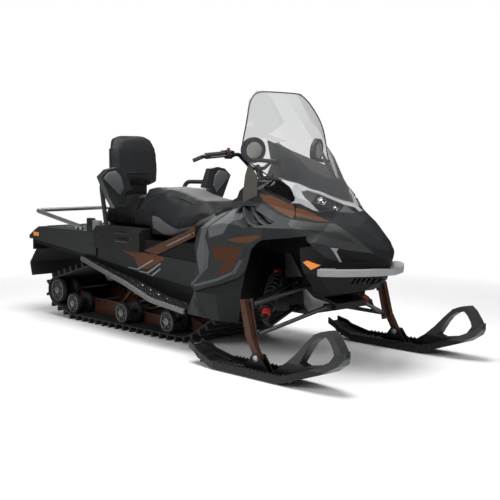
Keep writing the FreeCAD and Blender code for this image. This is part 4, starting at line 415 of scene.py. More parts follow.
@dataclass(frozen=True)
class Metal:
    """Bare or brushed metal with streaks along one axis, tarnish and bright edges."""

    name: str
    colour: Colour
    roughness: float = 0.35
    streaks: Point = (1.0, 30.0, 30.0)
    edge_radius: float = 0.0015
    dulling: float = 0.72
    shine: Pair = (1.25, 0.04)
    streak: Pair = (14.0, 5.0)
    streak_depth: float = 0.0002
    stains: Pair = (9.0, 4.0)
    stain_ramp: Pair = (0.5, 0.3)
    dull_shares: Pair = (0.6, 0.25)
    rough_shares: Pair = (0.2, 0.1)
    rough_middle: float = 0.12
    edge_light: float = 0.6

    def material(self) -> Material:
        """Make the material.

        Returns:
            The finished material.
        """
        graph = Graph(self.name)
        normal, edge = graph.edge(self.edge_radius)
        streak = graph.noise(*self.streak, graph.stretched(self.streaks))
        dull = tuple(part * self.dulling for part in self.colour)
        tarnish = graph.noise(*self.stains).step(*self.stain_ramp)
        streak_dull, stain_dull = self.dull_shares
        colour = graph.mix(streak * streak_dull + tarnish * stain_dull, self.colour, dull)
        gain, lift = self.shine
        bright = tuple(min(1.0, part * gain + lift) for part in self.colour)
        colour = graph.mix(edge * self.edge_light, colour, bright)
        streak_rough, stain_rough = self.rough_shares
        bumped = graph.bump(streak, self.streak_depth, normal)
        rough = (streak * streak_rough + tarnish * stain_rough
                 + (self.roughness - self.rough_middle))
        return graph.surface({
            "Base Color": colour, "Metallic": 1.0, "Normal": bumped, "Roughness": rough.held(),
        })


@dataclass(frozen=True)
class Rubber:
    """Black rubber, dusty and duller in patches, and lighter along its edges as a painted
    highlight.
    """

    name: str
    colour: Colour = (0.022, 0.022, 0.024)
    # Colour of the dusty patches, also used for the painted highlight along edges.
    dust_and_highlight: Colour = (0.10, 0.10, 0.10)
    roughness: float = 0.72
    edge_radius: float = 0.003
    grain: Pair = (340.0, 4.0)
    grain_depth: float = 0.0003
    patches: Pair = (26.0, 6.0)
    patch_ramp: Pair = (0.52, 0.35)
    dust_and_highlight_share: float = 0.35
    dust_roughness: float = 0.15

    def material(self) -> Material:
        """Make the material.

        Returns:
            The finished material.
        """
        graph = Graph(self.name)
        normal, edge = graph.edge(self.edge_radius)
        patch = graph.noise(*self.patches).step(*self.patch_ramp)
        # The mask mixes dusty patches with a painted highlight along the edges.
        dusty_and_highlit = (patch * self.dust_and_highlight_share + edge * self.dust_and_highlight_share).held()
        colour = graph.mix(dusty_and_highlit, self.colour, self.dust_and_highlight)
        return graph.surface({
            "Base Color": colour,
            "Roughness": (patch * self.dust_roughness + self.roughness).held(),
            "Normal": graph.bump(graph.noise(*self.grain), self.grain_depth, normal),
        })


@dataclass(frozen=True)
class Vinyl:
    """Seat vinyl with a leather-like grain and soft creases."""

    name: str
    colour: Colour
    roughness: float = 0.5
    grain: float = 420.0
    specular: float = 0.15
    decals: tuple[Decal, ...] = ()
    shine: Pair = (1.35, 0.004)
    stretch: Point = (0.6, 2.4, 1.0)
    creases: Pair = (5.0, 5.0)
    crease_ramp: Pair = (0.5, 0.5)
    crease_light: float = 0.35
    rough_share: float = 0.25
    rough_middle: float = 0.08
    height_shares: Pair = (0.6, 0.8)
    depth: float = 0.0006

    def material(self) -> Material:
        """Make the material.

        Returns:
            The finished material.
        """
        graph = Graph(self.name)
        grain = graph.cells(self.grain, "SMOOTH_F1")
        crease = graph.noise(*self.creases, graph.stretched(self.stretch))
        gain, lift = self.shine
        light = tuple(part * gain + lift for part in self.colour)
        share = crease.step(*self.crease_ramp) * self.crease_light
        colour = graph.mix(share, self.colour, light)
        colour = painted(graph, colour, self.decals)
        grain_share, crease_share = self.height_shares
        height = grain * grain_share + crease * crease_share
        rough = grain * self.rough_share + (self.roughness - self.rough_middle)
        return graph.surface({
            "Base Color": colour, "Roughness": rough.held(),
            "Normal": graph.bump(height, self.depth), "Specular IOR Level": self.specular,
        })


@dataclass(frozen=True)
class Clear:
    """Clear tinted sheet with a smoked part, and painted shade on its upper angled sides."""

    name: str
    colour: Colour
    alpha: float
    roughness: float = 0.08
    smoke: tuple[Decal, ...] = ()
    smoke_colour: Colour = (0.075, 0.079, 0.083)
    smoke_alpha: float = 0.68
    # Painted shade: outlines where the sheet is made more opaque, for the darker look of its
    # angled sides.
    shaded_sides: tuple[Decal, ...] = ()
    side_shade_alpha: float = 0.08
    side_shade_soft: float = 0.002
    smoke_soft: float = 0.004
    haze: Pair = (8.0, 5.0)
    haze_stretch: Point = (1.0, 1.0, 0.3)
    haze_alpha: float = 0.05
    haze_roughness: float = 0.1
    facing_blend: float = 0.3
    facing_alpha: float = 0.2
    index: float = 1.49
    specular: float = 0.4

    def union(self, graph: Graph, decals: Sequence[Decal], soft: float) -> Sock | None:
        """Tell the inside of some outlines, which share the front view.

        Args:
            graph: the material's graph.
            decals: the outlines.
            soft: how wide the ramp at their edges is.

        Returns:
            1 inside any of them and 0 outside, or None without outlines.
        """
        _, y, z = graph.axes()
        whole: Sock | None = None
        for decal in decals:
            mask = graph.inside(abs(y), z, decal.outline, soft)
            whole = mask if whole is None else whole.most(mask)
        return whole

    def material(self) -> Material:
        """Make the material.

        Returns:
            The finished material.
        """
        graph = Graph(self.name)
        haze = graph.noise(*self.haze, graph.stretched(self.haze_stretch))
        facing = graph.number("ShaderNodeLayerWeight", {}, {"Blend": self.facing_blend}, "Facing")
        alpha = (facing * self.facing_alpha + haze * self.haze_alpha
                 + (self.alpha - self.haze_alpha / 2))
        colour: object = self.colour
        # Painted shade: the sheet is more opaque inside the shaded outlines.
        shaded_mask = self.union(graph, self.shaded_sides, self.side_shade_soft)
        if shaded_mask is not None:
            alpha = alpha + shaded_mask * self.side_shade_alpha
        smoked = self.union(graph, self.smoke, self.smoke_soft)
        if smoked is not None:
            alpha = alpha.most(smoked * self.smoke_alpha)
            colour = graph.mix(smoked, colour, self.smoke_colour)
        return graph.surface({
            "Base Color": colour,
            "Roughness": (haze * self.haze_roughness + self.roughness).held(),
            "Alpha": alpha.held(), "IOR": self.index, "Specular IOR Level": self.specular,
        })


@dataclass(frozen=True)
class Lens:
    """A ribbed coloured lamp lens."""

    name: str
    colour: Colour
    glow: float = 0.15
    decals: tuple[Decal, ...] = ()
    rib_lean: float = 0.4
    rib_count: float = 900.0
    rib_depth: float = 0.0004
    rib_roughness: float = 0.05
    roughness: float = 0.18
    deepening: float = 0.55
    coat: float = 0.8
    coat_roughness: float = 0.05

    def material(self) -> Material:
        """Make the material.

        Returns:
            The finished material.
        """
        graph = Graph(self.name)
        x, _, z = graph.axes()
        ribs = (((x + z * self.rib_lean) * self.rib_count).wave()
                * ((z - x * self.rib_lean) * self.rib_count).wave())
        deep = tuple(part * self.deepening for part in self.colour)
        colour = graph.mix((ribs * 0.5 + 0.5).held(), deep, self.colour)
        colour = painted(graph, colour, self.decals)
        return graph.surface({
            "Base Color": colour,
            "Roughness": (ribs * self.rib_roughness + self.roughness).held(),
            "Coat Weight": self.coat, "Coat Roughness": self.coat_roughness,
            "Emission Color": colour, "Emission Strength": self.glow,
            "Normal": graph.bump(ribs, self.rib_depth),
        })


GRAPHITE: Colour = (0.024, 0.0265, 0.028)
# Painted highlight: a lighter grey that stands in for light on the side panels' rear strip and
# ridges.
PANEL_HIGHLIGHT_GREY: Colour = (0.075, 0.079, 0.082)
BLACK: Colour = (0.0045, 0.0048, 0.0052)
SOFT_BLACK: Colour = (0.0075, 0.008, 0.0088)
VOID: Colour = (0.0012, 0.0012, 0.0013)
COPPER: Colour = (0.058, 0.020, 0.009)
BROWN: Colour = (0.095, 0.038, 0.018)
DEEP_BROWN: Colour = (0.060, 0.022, 0.010)
SILVER: Colour = (0.30, 0.305, 0.315)
PALE: Colour = (0.22, 0.225, 0.23)
OLIVE: Colour = (0.078, 0.073, 0.062)
DIM_GRAPHITE: Colour = (0.0085, 0.0095, 0.0100)
MID_GRAPHITE: Colour = (0.088, 0.092, 0.096)
SMOKED: Colour = (0.040, 0.042, 0.045)


HEXAGON: tuple[Flat, ...] = (
    (-0.017, 0.0), (-0.010, 0.008), (0.010, 0.008), (0.017, 0.0), (0.010, -0.008),
    (-0.010, -0.008),
)


def slots(first: Flat, pitch: Flat, cell: Sequence[Flat], count: int) -> tuple[Decal, ...]:
    """Draw a row of equal dark slots in a side view.

    Args:
        first: where the first slot's own origin lies.
        pitch: the step from a slot to the next.
        cell: the outline of one slot.
        count: how many slots there are.

    Returns:
        The slots.
    """
    made = []
    for index in range(count):
        left, up = first[0] + pitch[0] * index, first[1] + pitch[1] * index
        made.append(Decal(tuple((left + x, up + z) for x, z in cell), VOID))
    return tuple(made)


PANEL_DECALS = (
    Decal(((0.434, 0.352), (0.622, 0.397), (0.622, 0.100), (0.434, 0.100)), DIM_GRAPHITE),
    Decal(((0.618, 0.400), (0.767, 0.448), (0.767, 0.100), (0.618, 0.100)), DIM_GRAPHITE),
    Decal(((0.762, 0.447), (0.862, 0.535), (0.862, 0.100), (0.762, 0.100)), DIM_GRAPHITE),
    Decal(((0.858, 0.535), (0.912, 0.610), (1.200, 0.610), (1.200, 0.100), (0.858, 0.100)),
          DIM_GRAPHITE),
    Decal(((0.474, 0.689), (0.584, 0.790), (0.700, 0.775), (0.620, 0.668), (0.500, 0.640)),
          MID_GRAPHITE),
    Decal(((0.652, 0.638), (0.730, 0.655), (0.872, 0.674), (0.898, 0.670), (0.840, 0.637),
           (0.758, 0.630)), BROWN),
    Decal(((0.546, 0.596), (0.791, 0.610), (0.748, 0.543), (0.636, 0.526), (0.568, 0.538)),
          DEEP_BROWN),
    Decal(((0.667, 0.530), (0.751, 0.546), (0.713, 0.492), (0.595, 0.447), (0.623, 0.497)),
          DEEP_BROWN),
    # Painted highlight along the rear strip and the ridges of the side panels.
    Decal(((0.584, 0.786), (0.411, 0.740), (0.417, 0.676), (0.474, 0.689)), PANEL_HIGHLIGHT_GREY),
    Decal(((0.417, 0.618), (0.417, 0.678), (0.474, 0.689), (0.464, 0.640)), PANEL_HIGHLIGHT_GREY),
    Decal(((0.417, 0.557), (0.417, 0.622), (0.464, 0.640), (0.520, 0.564)), PANEL_HIGHLIGHT_GREY),
    Decal(((0.417, 0.560), (0.520, 0.566), (0.521, 0.484), (0.461, 0.447)), PANEL_HIGHLIGHT_GREY),
    Decal(((0.461, 0.449), (0.521, 0.486), (0.400, 0.378), (0.390, 0.392)), PANEL_HIGHLIGHT_GREY),
    Decal(((0.770, 0.547), (0.786, 0.541), (0.733, 0.473), (0.718, 0.482)), PANEL_HIGHLIGHT_GREY),
    Decal(((0.718, 0.482), (0.733, 0.473), (0.610, 0.424), (0.600, 0.436)), PANEL_HIGHLIGHT_GREY),
    Decal(((0.600, 0.436), (0.610, 0.424), (0.420, 0.374), (0.412, 0.386)), PANEL_HIGHLIGHT_GREY),
    Decal(((0.905, 0.612), (0.920, 0.606), (0.865, 0.530), (0.850, 0.536)), VOID),
    Decal(((0.850, 0.537), (0.865, 0.531), (0.770, 0.444), (0.758, 0.454)), VOID),
    Decal(((0.758, 0.455), (0.770, 0.445), (0.625, 0.396), (0.618, 0.407)), VOID),
    Decal(((0.618, 0.408), (0.625, 0.397), (0.440, 0.345), (0.434, 0.356)), VOID),
    *slots((0.408, 0.306), (0.021, -0.012),
           ((0.0, 0.0), (0.012, -0.006), (0.021, -0.050), (0.009, -0.045)), 4),
)
INTAKE_DECALS: tuple[Decal, ...] = (
    Decal(((0.745, 0.905), (0.797, 0.958), (0.876, 0.922), (0.934, 0.860), (0.930, 0.838)), VOID),
)
HOOD_DECALS = INTAKE_DECALS + (
    Decal(((0.740, 0.874), (0.826, 0.868), (0.938, 0.822), (0.984, 0.752), (0.890, 0.795)), BROWN),
    Decal(((0.938, 0.830), (0.948, 0.830), (0.994, 0.742), (0.983, 0.742)), VOID),
    Decal(((0.955, 0.247), (1.030, 0.200), (1.110, 0.157), (1.054, 0.215), (0.977, 0.271)), BROWN,
          Plane.TOP),
)
NOSE_DECALS = (
    Decal(((1.016, 0.719), (1.122, 0.720), (1.253, 0.635), (1.166, 0.659), (1.087, 0.688)),
          (0.012, 0.0135, 0.0135)),
    Decal(((1.176, 0.617), (1.316, 0.590), (1.375, 0.556), (1.375, 0.440), (1.198, 0.440)), VOID),
)
COVER_DECALS = (
    Decal(((-0.560, 0.535), (-0.039, 0.494), (-0.005, 0.481), (-0.308, 0.470)), BROWN),
    Decal(((-0.308, 0.472), (-0.005, 0.483), (-0.172, 0.409), (-0.258, 0.409)), BROWN),
    Decal(((-0.368, 0.408), (-0.277, 0.402), (-0.268, 0.396), (-0.360, 0.402)), PALE),
    Decal(((-0.277, 0.402), (-0.125, 0.469), (-0.120, 0.463), (-0.268, 0.396)), PALE),
    Decal(((-0.261, 0.393), (-0.175, 0.390), (-0.166, 0.383), (-0.253, 0.387)), PALE),
    Decal(((-0.175, 0.390), (-0.053, 0.455), (-0.047, 0.449), (-0.166, 0.383)), PALE),
    Decal(((-0.187, 0.379), (-0.137, 0.376), (-0.128, 0.369), (-0.180, 0.373)), PALE),
    Decal(((-0.137, 0.376), (-0.053, 0.425), (-0.047, 0.419), (-0.128, 0.369)), PALE),
)
BRACE_DECALS = (
    Decal(((0.020, 0.562), (0.262, 0.650), (0.262, 0.646), (0.024, 0.558)), PALE),
)
SIDE_GREY: Colour = (0.080, 0.078, 0.080)
SEAT_DECALS = (
    Decal(((-0.215, 0.719), (-0.149, 0.714), (0.030, 0.649), (-0.020, 0.590), (-0.190, 0.650)),
          SIDE_GREY),
    Decal(((0.026, 0.651), (0.182, 0.688), (0.060, 0.600), (-0.020, 0.588)), SIDE_GREY),
    Decal(((0.100, 0.662), (0.138, 0.701), (0.202, 0.745), (0.260, 0.745), (0.182, 0.680)),
          SIDE_GREY),
)
SKI_DECALS = (
    Decal(((1.170, 0.100), (1.600, 0.100), (1.600, 0.450), (1.170, 0.450)),
          (0.036, 0.038, 0.040)),
    *slots((0.650, 0.043), (0.052, 0.0), HEXAGON, 11),
)
RAIL_DECALS = (
    *slots((-0.940, 0.118), (0.075, 0.0), HEXAGON, 4),
    *slots((-0.420, 0.122), (0.075, 0.0), HEXAGON, 4),
)
LAMP_DECALS = (
    Decal(((-1.70, -0.01), (-1.30, -0.01), (-1.30, 0.27), (-1.70, 0.27)), (0.45, 0.012, 0.008),
          Plane.TOP),
)


def smoked_band(edge: Sequence[Flat], foot: float, lap: float) -> tuple[Decal, ...]:
    """Draw the smoked part of the windshield in overlapping upright strips.

    Args:
        edge: the upper edge, from the middle outwards.
        foot: the height that the strips start at.
        lap: how far each strip reaches under the one before.

    Returns:
        The strips.
    """
    strips = []
    for (near, low), (far, high) in zip(edge, edge[1:]):
        strips.append(Decal(((near - lap, foot), (near - lap, low), (far, high), (far, foot)),
                            SMOKED, Plane.FRONT))
    return tuple(strips)


SHIELD_SMOKE = smoked_band(
    ((-0.010, 0.950), (0.030, 0.955), (0.064, 0.966), (0.116, 1.009), (0.159, 1.100),
     (0.185, 1.140), (0.208, 1.134)), 0.700, 0.006)
# Painted shade: the windshield's upper angled sides look darker at a glancing angle, so these
# outlines are made more opaque.
SHIELD_SIDE_SHADE = (
    Decal(((0.115, 1.500), (0.400, 1.500), (0.400, 1.160), (0.235, 1.160), (0.105, 1.250)),
          SMOKED, Plane.FRONT),
    Decal(((0.140, 1.145), (0.230, 1.190), (0.235, 1.165), (0.185, 1.138)), SMOKED, Plane.FRONT),
)

FINISHES: dict[str, object] = {
    "tunnel": Moulded("sheet_black", BLACK, 0.42, edge_radius=0.002, specular=0.2),
    "running_boards": Moulded("board_black", BLACK, 0.5, edge_radius=0.0015),
    "board_rails": Metal("rail_alloy", (0.20, 0.20, 0.205), 0.5),
    "tunnel_covers": Moulded("cover_graphite", (0.019, 0.021, 0.022), 0.48, specular=0.2,
                             decals=COVER_DECALS),
    "seat_braces": Moulded("brace_copper", COPPER, 0.45, decals=BRACE_DECALS),
    "cargo_deck": Moulded("deck_black", (0.015, 0.0165, 0.017), 0.55, grain=420.0,
                          grain_depth=0.0003),
    "rear_rack": Metal("rack_alloy", (0.42, 0.42, 0.43), 0.42),
    "snow_flap": Rubber("flap_rubber", (0.006, 0.006, 0.0065), (0.03, 0.03, 0.03)),
    "tail_plate": Moulded("tail_black", BLACK, 0.45, edge_radius=0.002),
    "rear_lamps": Lens("lens_amber", (0.95, 0.30, 0.02), decals=LAMP_DECALS),
    "track": Rubber("track_rubber", (0.0045, 0.0045, 0.005), (0.028, 0.028, 0.029)),
    "skid_wheels": Rubber("wheel_rubber", (0.008, 0.008, 0.0085), (0.05, 0.05, 0.051)),
    "skid_axles": Metal("axle_steel", (0.25, 0.25, 0.25)),
    "skid_rails": Moulded("rail_copper", COPPER, 0.5, metallic=0.3, decals=RAIL_DECALS),
    "skid_arms": Moulded("arm_copper", COPPER, 0.5, metallic=0.3),
    "hood": Moulded("hood_graphite", (0.014, 0.0155, 0.0165), 0.55, specular=0.1,
                    decals=HOOD_DECALS),
    "headlight_surround": Moulded("surround_silver", SILVER, 0.36, coat=0.3),
    "headlamps": Moulded("lamp_gloss", (0.004, 0.004, 0.0045), 0.34, grain_depth=0.00002),
    "side_panels": Moulded("panel_graphite", GRAPHITE, 0.48, specular=0.12,
                           decals=PANEL_DECALS),
    "nose": Moulded("nose_graphite", (0.022, 0.024, 0.025), 0.4, coat=0.05, specular=0.18,
                    decals=NOSE_DECALS),
    "belly_pan": Moulded("belly_black", BLACK, 0.48, specular=0.25),
    "front_bumper": Moulded("bumper_silver", (0.33, 0.335, 0.345), 0.42),
    "windshield": Clear("shield_clear", (0.15, 0.155, 0.16), 0.165, 0.06, SHIELD_SMOKE,
                        shaded_sides=SHIELD_SIDE_SHADE),
    "fairing": Moulded("fairing_smoke", OLIVE, 0.4, decals=INTAKE_DECALS),
    "mirrors": Moulded("mirror_black", BLACK, 0.4),
    "console": Moulded("console_black", BLACK, 0.5),
    "gauge": Moulded("gauge_grey", (0.06, 0.06, 0.065), 0.35),
    "front_frame": Moulded("frame_black", BLACK, 0.45),
    "engine_block": Metal("engine_alloy", (0.018, 0.018, 0.019), 0.6),
    "front_arms": Moulded("arm_black", BLACK, 0.38, coat=0.2),
    "front_shocks": Moulded("shock_black", SOFT_BLACK, 0.35, metallic=0.5),
    "handlebar": Moulded("bar_black", BLACK, 0.35, coat=0.3),
    "hand_controls": Rubber("grip_rubber", (0.006, 0.006, 0.006), (0.03, 0.03, 0.03)),
    "seat_base": Moulded("base_black", BLACK, 0.5),
    "driver_seat": Vinyl("vinyl_black", SOFT_BLACK, decals=SEAT_DECALS),
    "passenger_seat": Vinyl("vinyl_dark", BLACK, specular=0.1),
    "backrest_pad": Vinyl("vinyl_pad", (0.0115, 0.0122, 0.013), specular=0.25),
    "backrest_frame": Moulded("backrest_black", BLACK, 0.4),
    "hand_guards": Moulded("guard_graphite", (0.018, 0.0195, 0.021), 0.4),
    "spindle_right": Moulded("spindle_copper_right", COPPER, 0.42, metallic=0.3),
    "spindle_left": Moulded("spindle_copper_left", COPPER, 0.42, metallic=0.3),
    "ski_right": Moulded("ski_black_right", BLACK, 0.42, specular=0.25, decals=SKI_DECALS),
    "ski_left": Moulded("ski_black_left", BLACK, 0.42, specular=0.25, decals=SKI_DECALS),
    "ski_runner_right": Metal("runner_steel_right", (0.5, 0.5, 0.5)),
    "ski_runner_left": Metal("runner_steel_left", (0.5, 0.5, 0.5)),
}


def dress_frame() -> None:
    """Give every node of the frame its finish."""
    for name, finish in FINISHES.items():
        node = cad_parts[name]
        node.data.materials.clear()
        node.data.materials.append(finish.material())
        log.info("dressed %s", name)


# Modelling


SIDES = (-1, 1)
BEVEL_SEGMENTS = 2
ROUND_ANGLE = 80.0
RING_SEGMENTS = 40
RING_SIDES = 8


def select_only(piece: Piece) -> None:
    """Make a piece the one selected and active object.

    Args:
        piece: the piece to select.
    """
    bpy.ops.object.select_all(action="DESELECT")
    piece.select_set(True)
    bpy.context.view_layer.objects.active = piece


def applied(piece: Piece, kind: str, **settings: object) -> Piece:
    """Give a piece a modifier and apply it.

    Args:
        piece: the piece to change.
        kind: the modifier's type.
        settings: the modifier's own settings, set in the order given.

    Returns:
        The same piece.
    """
    modifier = piece.modifiers.new(kind.lower(), kind)
    for name, value in settings.items():
        setattr(modifier, name, value)
    select_only(piece)
    bpy.ops.object.modifier_apply(modifier=modifier.name)
    return piece


def settled(piece: Piece, name: str) -> Piece:
    """Name a new piece and apply its place, turn and size to its mesh.

    Args:
        piece: the piece to settle.
        name: its new name.

    Returns:
        The same piece.
    """
    piece.name = name
    select_only(piece)
    bpy.ops.object.transform_apply(location=True, rotation=True, scale=True)
    return piece


def eased(piece: Piece, width: float) -> Piece:
    """Round a piece's sharp edges.

    Args:
        piece: the piece to change.
        width: how wide the rounding is, or 0 for none.

    Returns:
        The same piece.
    """
    if width > 0:
        applied(piece, "BEVEL", width=width, segments=BEVEL_SEGMENTS, limit_method="ANGLE")
    return piece


def smooth(piece: Piece, angle: float = 35.0) -> Piece:
    """Shade a piece smooth except at its sharp edges.

    Args:
        piece: the piece to shade.
        angle: the angle in degrees past which an edge stays sharp.

    Returns:
        The same piece.
    """
    select_only(piece)
    bpy.ops.object.shade_smooth_by_angle(angle=math.radians(angle))
    return piece


def outward(piece: Piece) -> Piece:
    """Turn all of a piece's faces outwards.

    Args:
        piece: the piece to mend.

    Returns:
        The same piece.
    """
    select_only(piece)
    bpy.ops.object.mode_set(mode="EDIT")
    bpy.ops.mesh.select_all(action="SELECT")
    bpy.ops.mesh.normals_make_consistent(inside=False)
    bpy.ops.object.mode_set(mode="OBJECT")
    return piece


def turned_to(direction: Vector) -> tuple[float, float, float]:
    """Return the turn that lays a primitive's own axis along a direction."""
    return tuple(direction.to_track_quat("Z", "Y").to_euler())


def on_side(point: Point, side: int) -> Vector:
    """Return a point that is given for the left side, on one of the sides."""
    return Vector((point[0], point[1] * side, point[2]))


def on_both(build: Callable[[int], Sequence[Piece]]) -> list[Piece]:
    """Return what a builder makes for the right and for the left side."""
    return [piece for side in SIDES for piece in build(side)]


def round_bar(name: str, start: Vector, end: Vector, radius: float, sides: int = 24,
              ease: float = 0.0008) -> Piece:
    """Make a cylinder between two points.

    Args:
        name: the piece's name.
        start: the middle of one end.
        end: the middle of the other end.
        radius: the radius.
        sides: how many sides stand for the round.
        ease: the rounding of its edges.

    Returns:
        The cylinder.
    """
    bpy.ops.mesh.primitive_cylinder_add(
        vertices=sides, radius=radius, depth=(end - start).length, location=(start + end) / 2,
        rotation=turned_to(end - start))
    return smooth(eased(settled(bpy.context.object, name), ease))


def ring(name: str, centre: Vector, direction: Vector, radius: float, wire: float) -> Piece:
    """Make a round ring about a direction.

    Args:
        name: the piece's name.
        centre: the ring's centre.
        direction: the ring's axis.
        radius: the radius to the middle of the wire.
        wire: the wire's radius.

    Returns:
        The ring.
    """
    bpy.ops.mesh.primitive_torus_add(
        location=centre, rotation=turned_to(direction), major_radius=radius,
        minor_radius=wire, major_segments=RING_SEGMENTS, minor_segments=RING_SIDES)
    return smooth(settled(bpy.context.object, name), ROUND_ANGLE)


def block(name: str, centre: Vector, size: Point, turn: Point = (0.0, 0.0, 0.0),
          ease: float = 0.001) -> Piece:
    """Return a box about its centre, with eased edges."""
    bpy.ops.mesh.primitive_cube_add(size=1.0, location=centre, rotation=turn, scale=size)
    return smooth(eased(settled(bpy.context.object, name), ease))


def sheet(name: str, mesh: bpy.types.Mesh, thickness: float) -> Piece:
    """Make a walled sheet from an open mesh.

    Args:
        name: the piece's name.
        mesh: the sheet's middle surface.
        thickness: the wall.

    Returns:
        The sheet, with its faces outwards.
    """
    piece = bpy.data.objects.new(name, mesh)
    bpy.context.collection.objects.link(piece)
    return outward(applied(piece, "SOLIDIFY", thickness=thickness, offset=0.0))


def plate(name: str, corners: Sequence[Vector], thickness: float, ease: float = 0.0008) -> Piece:
    """Make a flat or slightly bent plate.

    Args:
        name: the piece's name.
        corners: the outline of the plate's middle surface.
        thickness: the wall.
        ease: the rounding of its edges.

    Returns:
        The plate.
    """
    mesh = bpy.data.meshes.new(name)
    mesh.from_pydata([tuple(corner) for corner in corners], [], [tuple(range(len(corners)))])
    return smooth(eased(sheet(name, mesh, thickness), ease))


def tube(name: str, points: Sequence[Vector], radius: float, sides: int = 3,
         closed: bool = False) -> Piece:
    """Make a round tube along a smooth curve.

    Args:
        name: the piece's name.
        points: the points that the curve runs near.
        radius: the tube's radius.
        sides: how finely the tube is rounded.
        closed: whether the curve is a loop.

    Returns:
        The tube.
    """
    data = bpy.data.curves.new(name, "CURVE")
    data.dimensions = "3D"
    data.bevel_depth = radius
    data.bevel_resolution = sides
    data.use_fill_caps = True
    spline = data.splines.new("NURBS")
    spline.points.add(len(points) - 1)
    for target, here in zip(spline.points, points):
        target.co = (*here, 1.0)
    spline.order_u = 3
    spline.use_endpoint_u = not closed
    spline.use_cyclic_u = closed
    spline.resolution_u = 6
    piece = bpy.data.objects.new(name, data)
    bpy.context.collection.objects.link(piece)
    select_only(piece)
    bpy.ops.object.convert(target="MESH")
    return smooth(outward(bpy.context.object), 60.0)


def added(name: str, parts: Sequence[Piece], finish: object,
          body: str = "chassis") -> None:
    """Join parts into one finished piece, where there are any.

    Args:
        name: the piece's name.
        parts: the parts to join.
        finish: the finish that makes its material.
        body: the body that it rides on.
    """
    if not parts:
        return
    bpy.ops.object.select_all(action="DESELECT")
    for part in parts:
        part.select_set(True)
    bpy.context.view_layer.objects.active = parts[0]
    if len(parts) > 1:
        bpy.ops.object.join()
    piece = bpy.context.object
    piece.name = name
    piece.data.materials.clear()
    piece.data.materials.append(finish.material())
    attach(piece, body)
    log.info("added %s", name)


class Skin:
    """The outer surface of some nodes or of a piece, for seating details on."""

    beyond: float = 2.0
    aside: float = 1.5
    reach: float = 0.2
    near: float = 0.06

    def __init__(self, *names: str, piece: Piece | None = None) -> None:
        """Merge the surfaces.

        Args:
            names: the nodes.
            piece: a piece beside them, if any.
        """
        merged = bmesh.new()
        for name in names:
            merged.from_mesh(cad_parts[name].data)
        if piece is not None:
            merged.from_mesh(piece.data)
        self.tree = BVHTree.FromBMesh(merged)
        merged.free()

    def hit(self, start: Vector, along: Vector) -> tuple[Vector, Vector] | None:
        """Follow a ray to the surface.

        Args:
            start: where the ray starts.
            along: the way it runs.

        Returns:
            The place that it meets, with the normal turned against the ray, or None.
        """
        place, normal, _, _ = self.tree.ray_cast(start, along)
        if place is None:
            return None
        return place, (normal if normal.dot(along) < 0 else -normal)

    def under(self, place: Vector, out: Vector) -> Vector | None:
        """Find the surface at a point that is near it.

        Args:
            place: the point.
            out: the way from the surface outwards.

        Returns:
            The place on the surface, or None where it is further off than near.
        """
        found = self.hit(place + out * self.reach, -out)
        if found is None or (found[0] - place).length >= self.near:
            return None
        return found[0]

    def beside(self, front: float, up: float, side: int) -> tuple[Vector, Vector] | None:
        """Return the place and the normal that a ray from one side meets."""
        return self.hit(Vector((front, self.aside * side, up)), Vector((0, -side, 0)))

    def below(self, front: float, left: float) -> tuple[Vector, Vector] | None:
        """Return the place and the normal that a ray from above meets."""
        return self.hit(Vector((front, left, self.beyond)), Vector((0, 0, -1)))

    def from_side(self, front: float, up: float, side: int, lift: float = 0.0) -> Vector | None:
        """Return the place that a ray from the side meets, lifted off the surface."""
        found = self.beside(front, up, side)
        return None if found is None else found[0] + found[1] * lift

    def from_top(self, front: float, left: float) -> Vector | None:
        """Return the place that a ray from above meets."""
        found = self.below(front, left)
        return None if found is None else found[0]


def draped(name: str, skin: Skin, outline: Sequence[Vector], out: Vector, lift: float,
           thickness: float, fineness: int = 4) -> Piece:
    """Make a thin plate that follows a surface.

    Args:
        name: the piece's name.
        skin: the surface to lie on.
        outline: the plate's corners, near the surface.
        out: the way from the surface outwards, along which the plate is laid down.
        lift: how far the plate's middle stands off the surface.
        thickness: how thick the plate is.
        fineness: how many cuts each edge gets.

    Returns:
        The plate.
    """
    form = bmesh.new()
    form.faces.new([form.verts.new(corner) for corner in outline])
    bmesh.ops.triangulate(form, faces=form.faces[:])
    bmesh.ops.subdivide_edges(form, edges=form.edges[:], cuts=fineness, use_grid_fill=True)
    for vert in form.verts:
        place = skin.under(vert.co, out)
        if place is not None:
            vert.co = place
        vert.co += out * lift
    mesh = bpy.data.meshes.new(name)
    form.to_mesh(mesh)
    form.free()
    return smooth(sheet(name, mesh, thickness))


# Soft parts


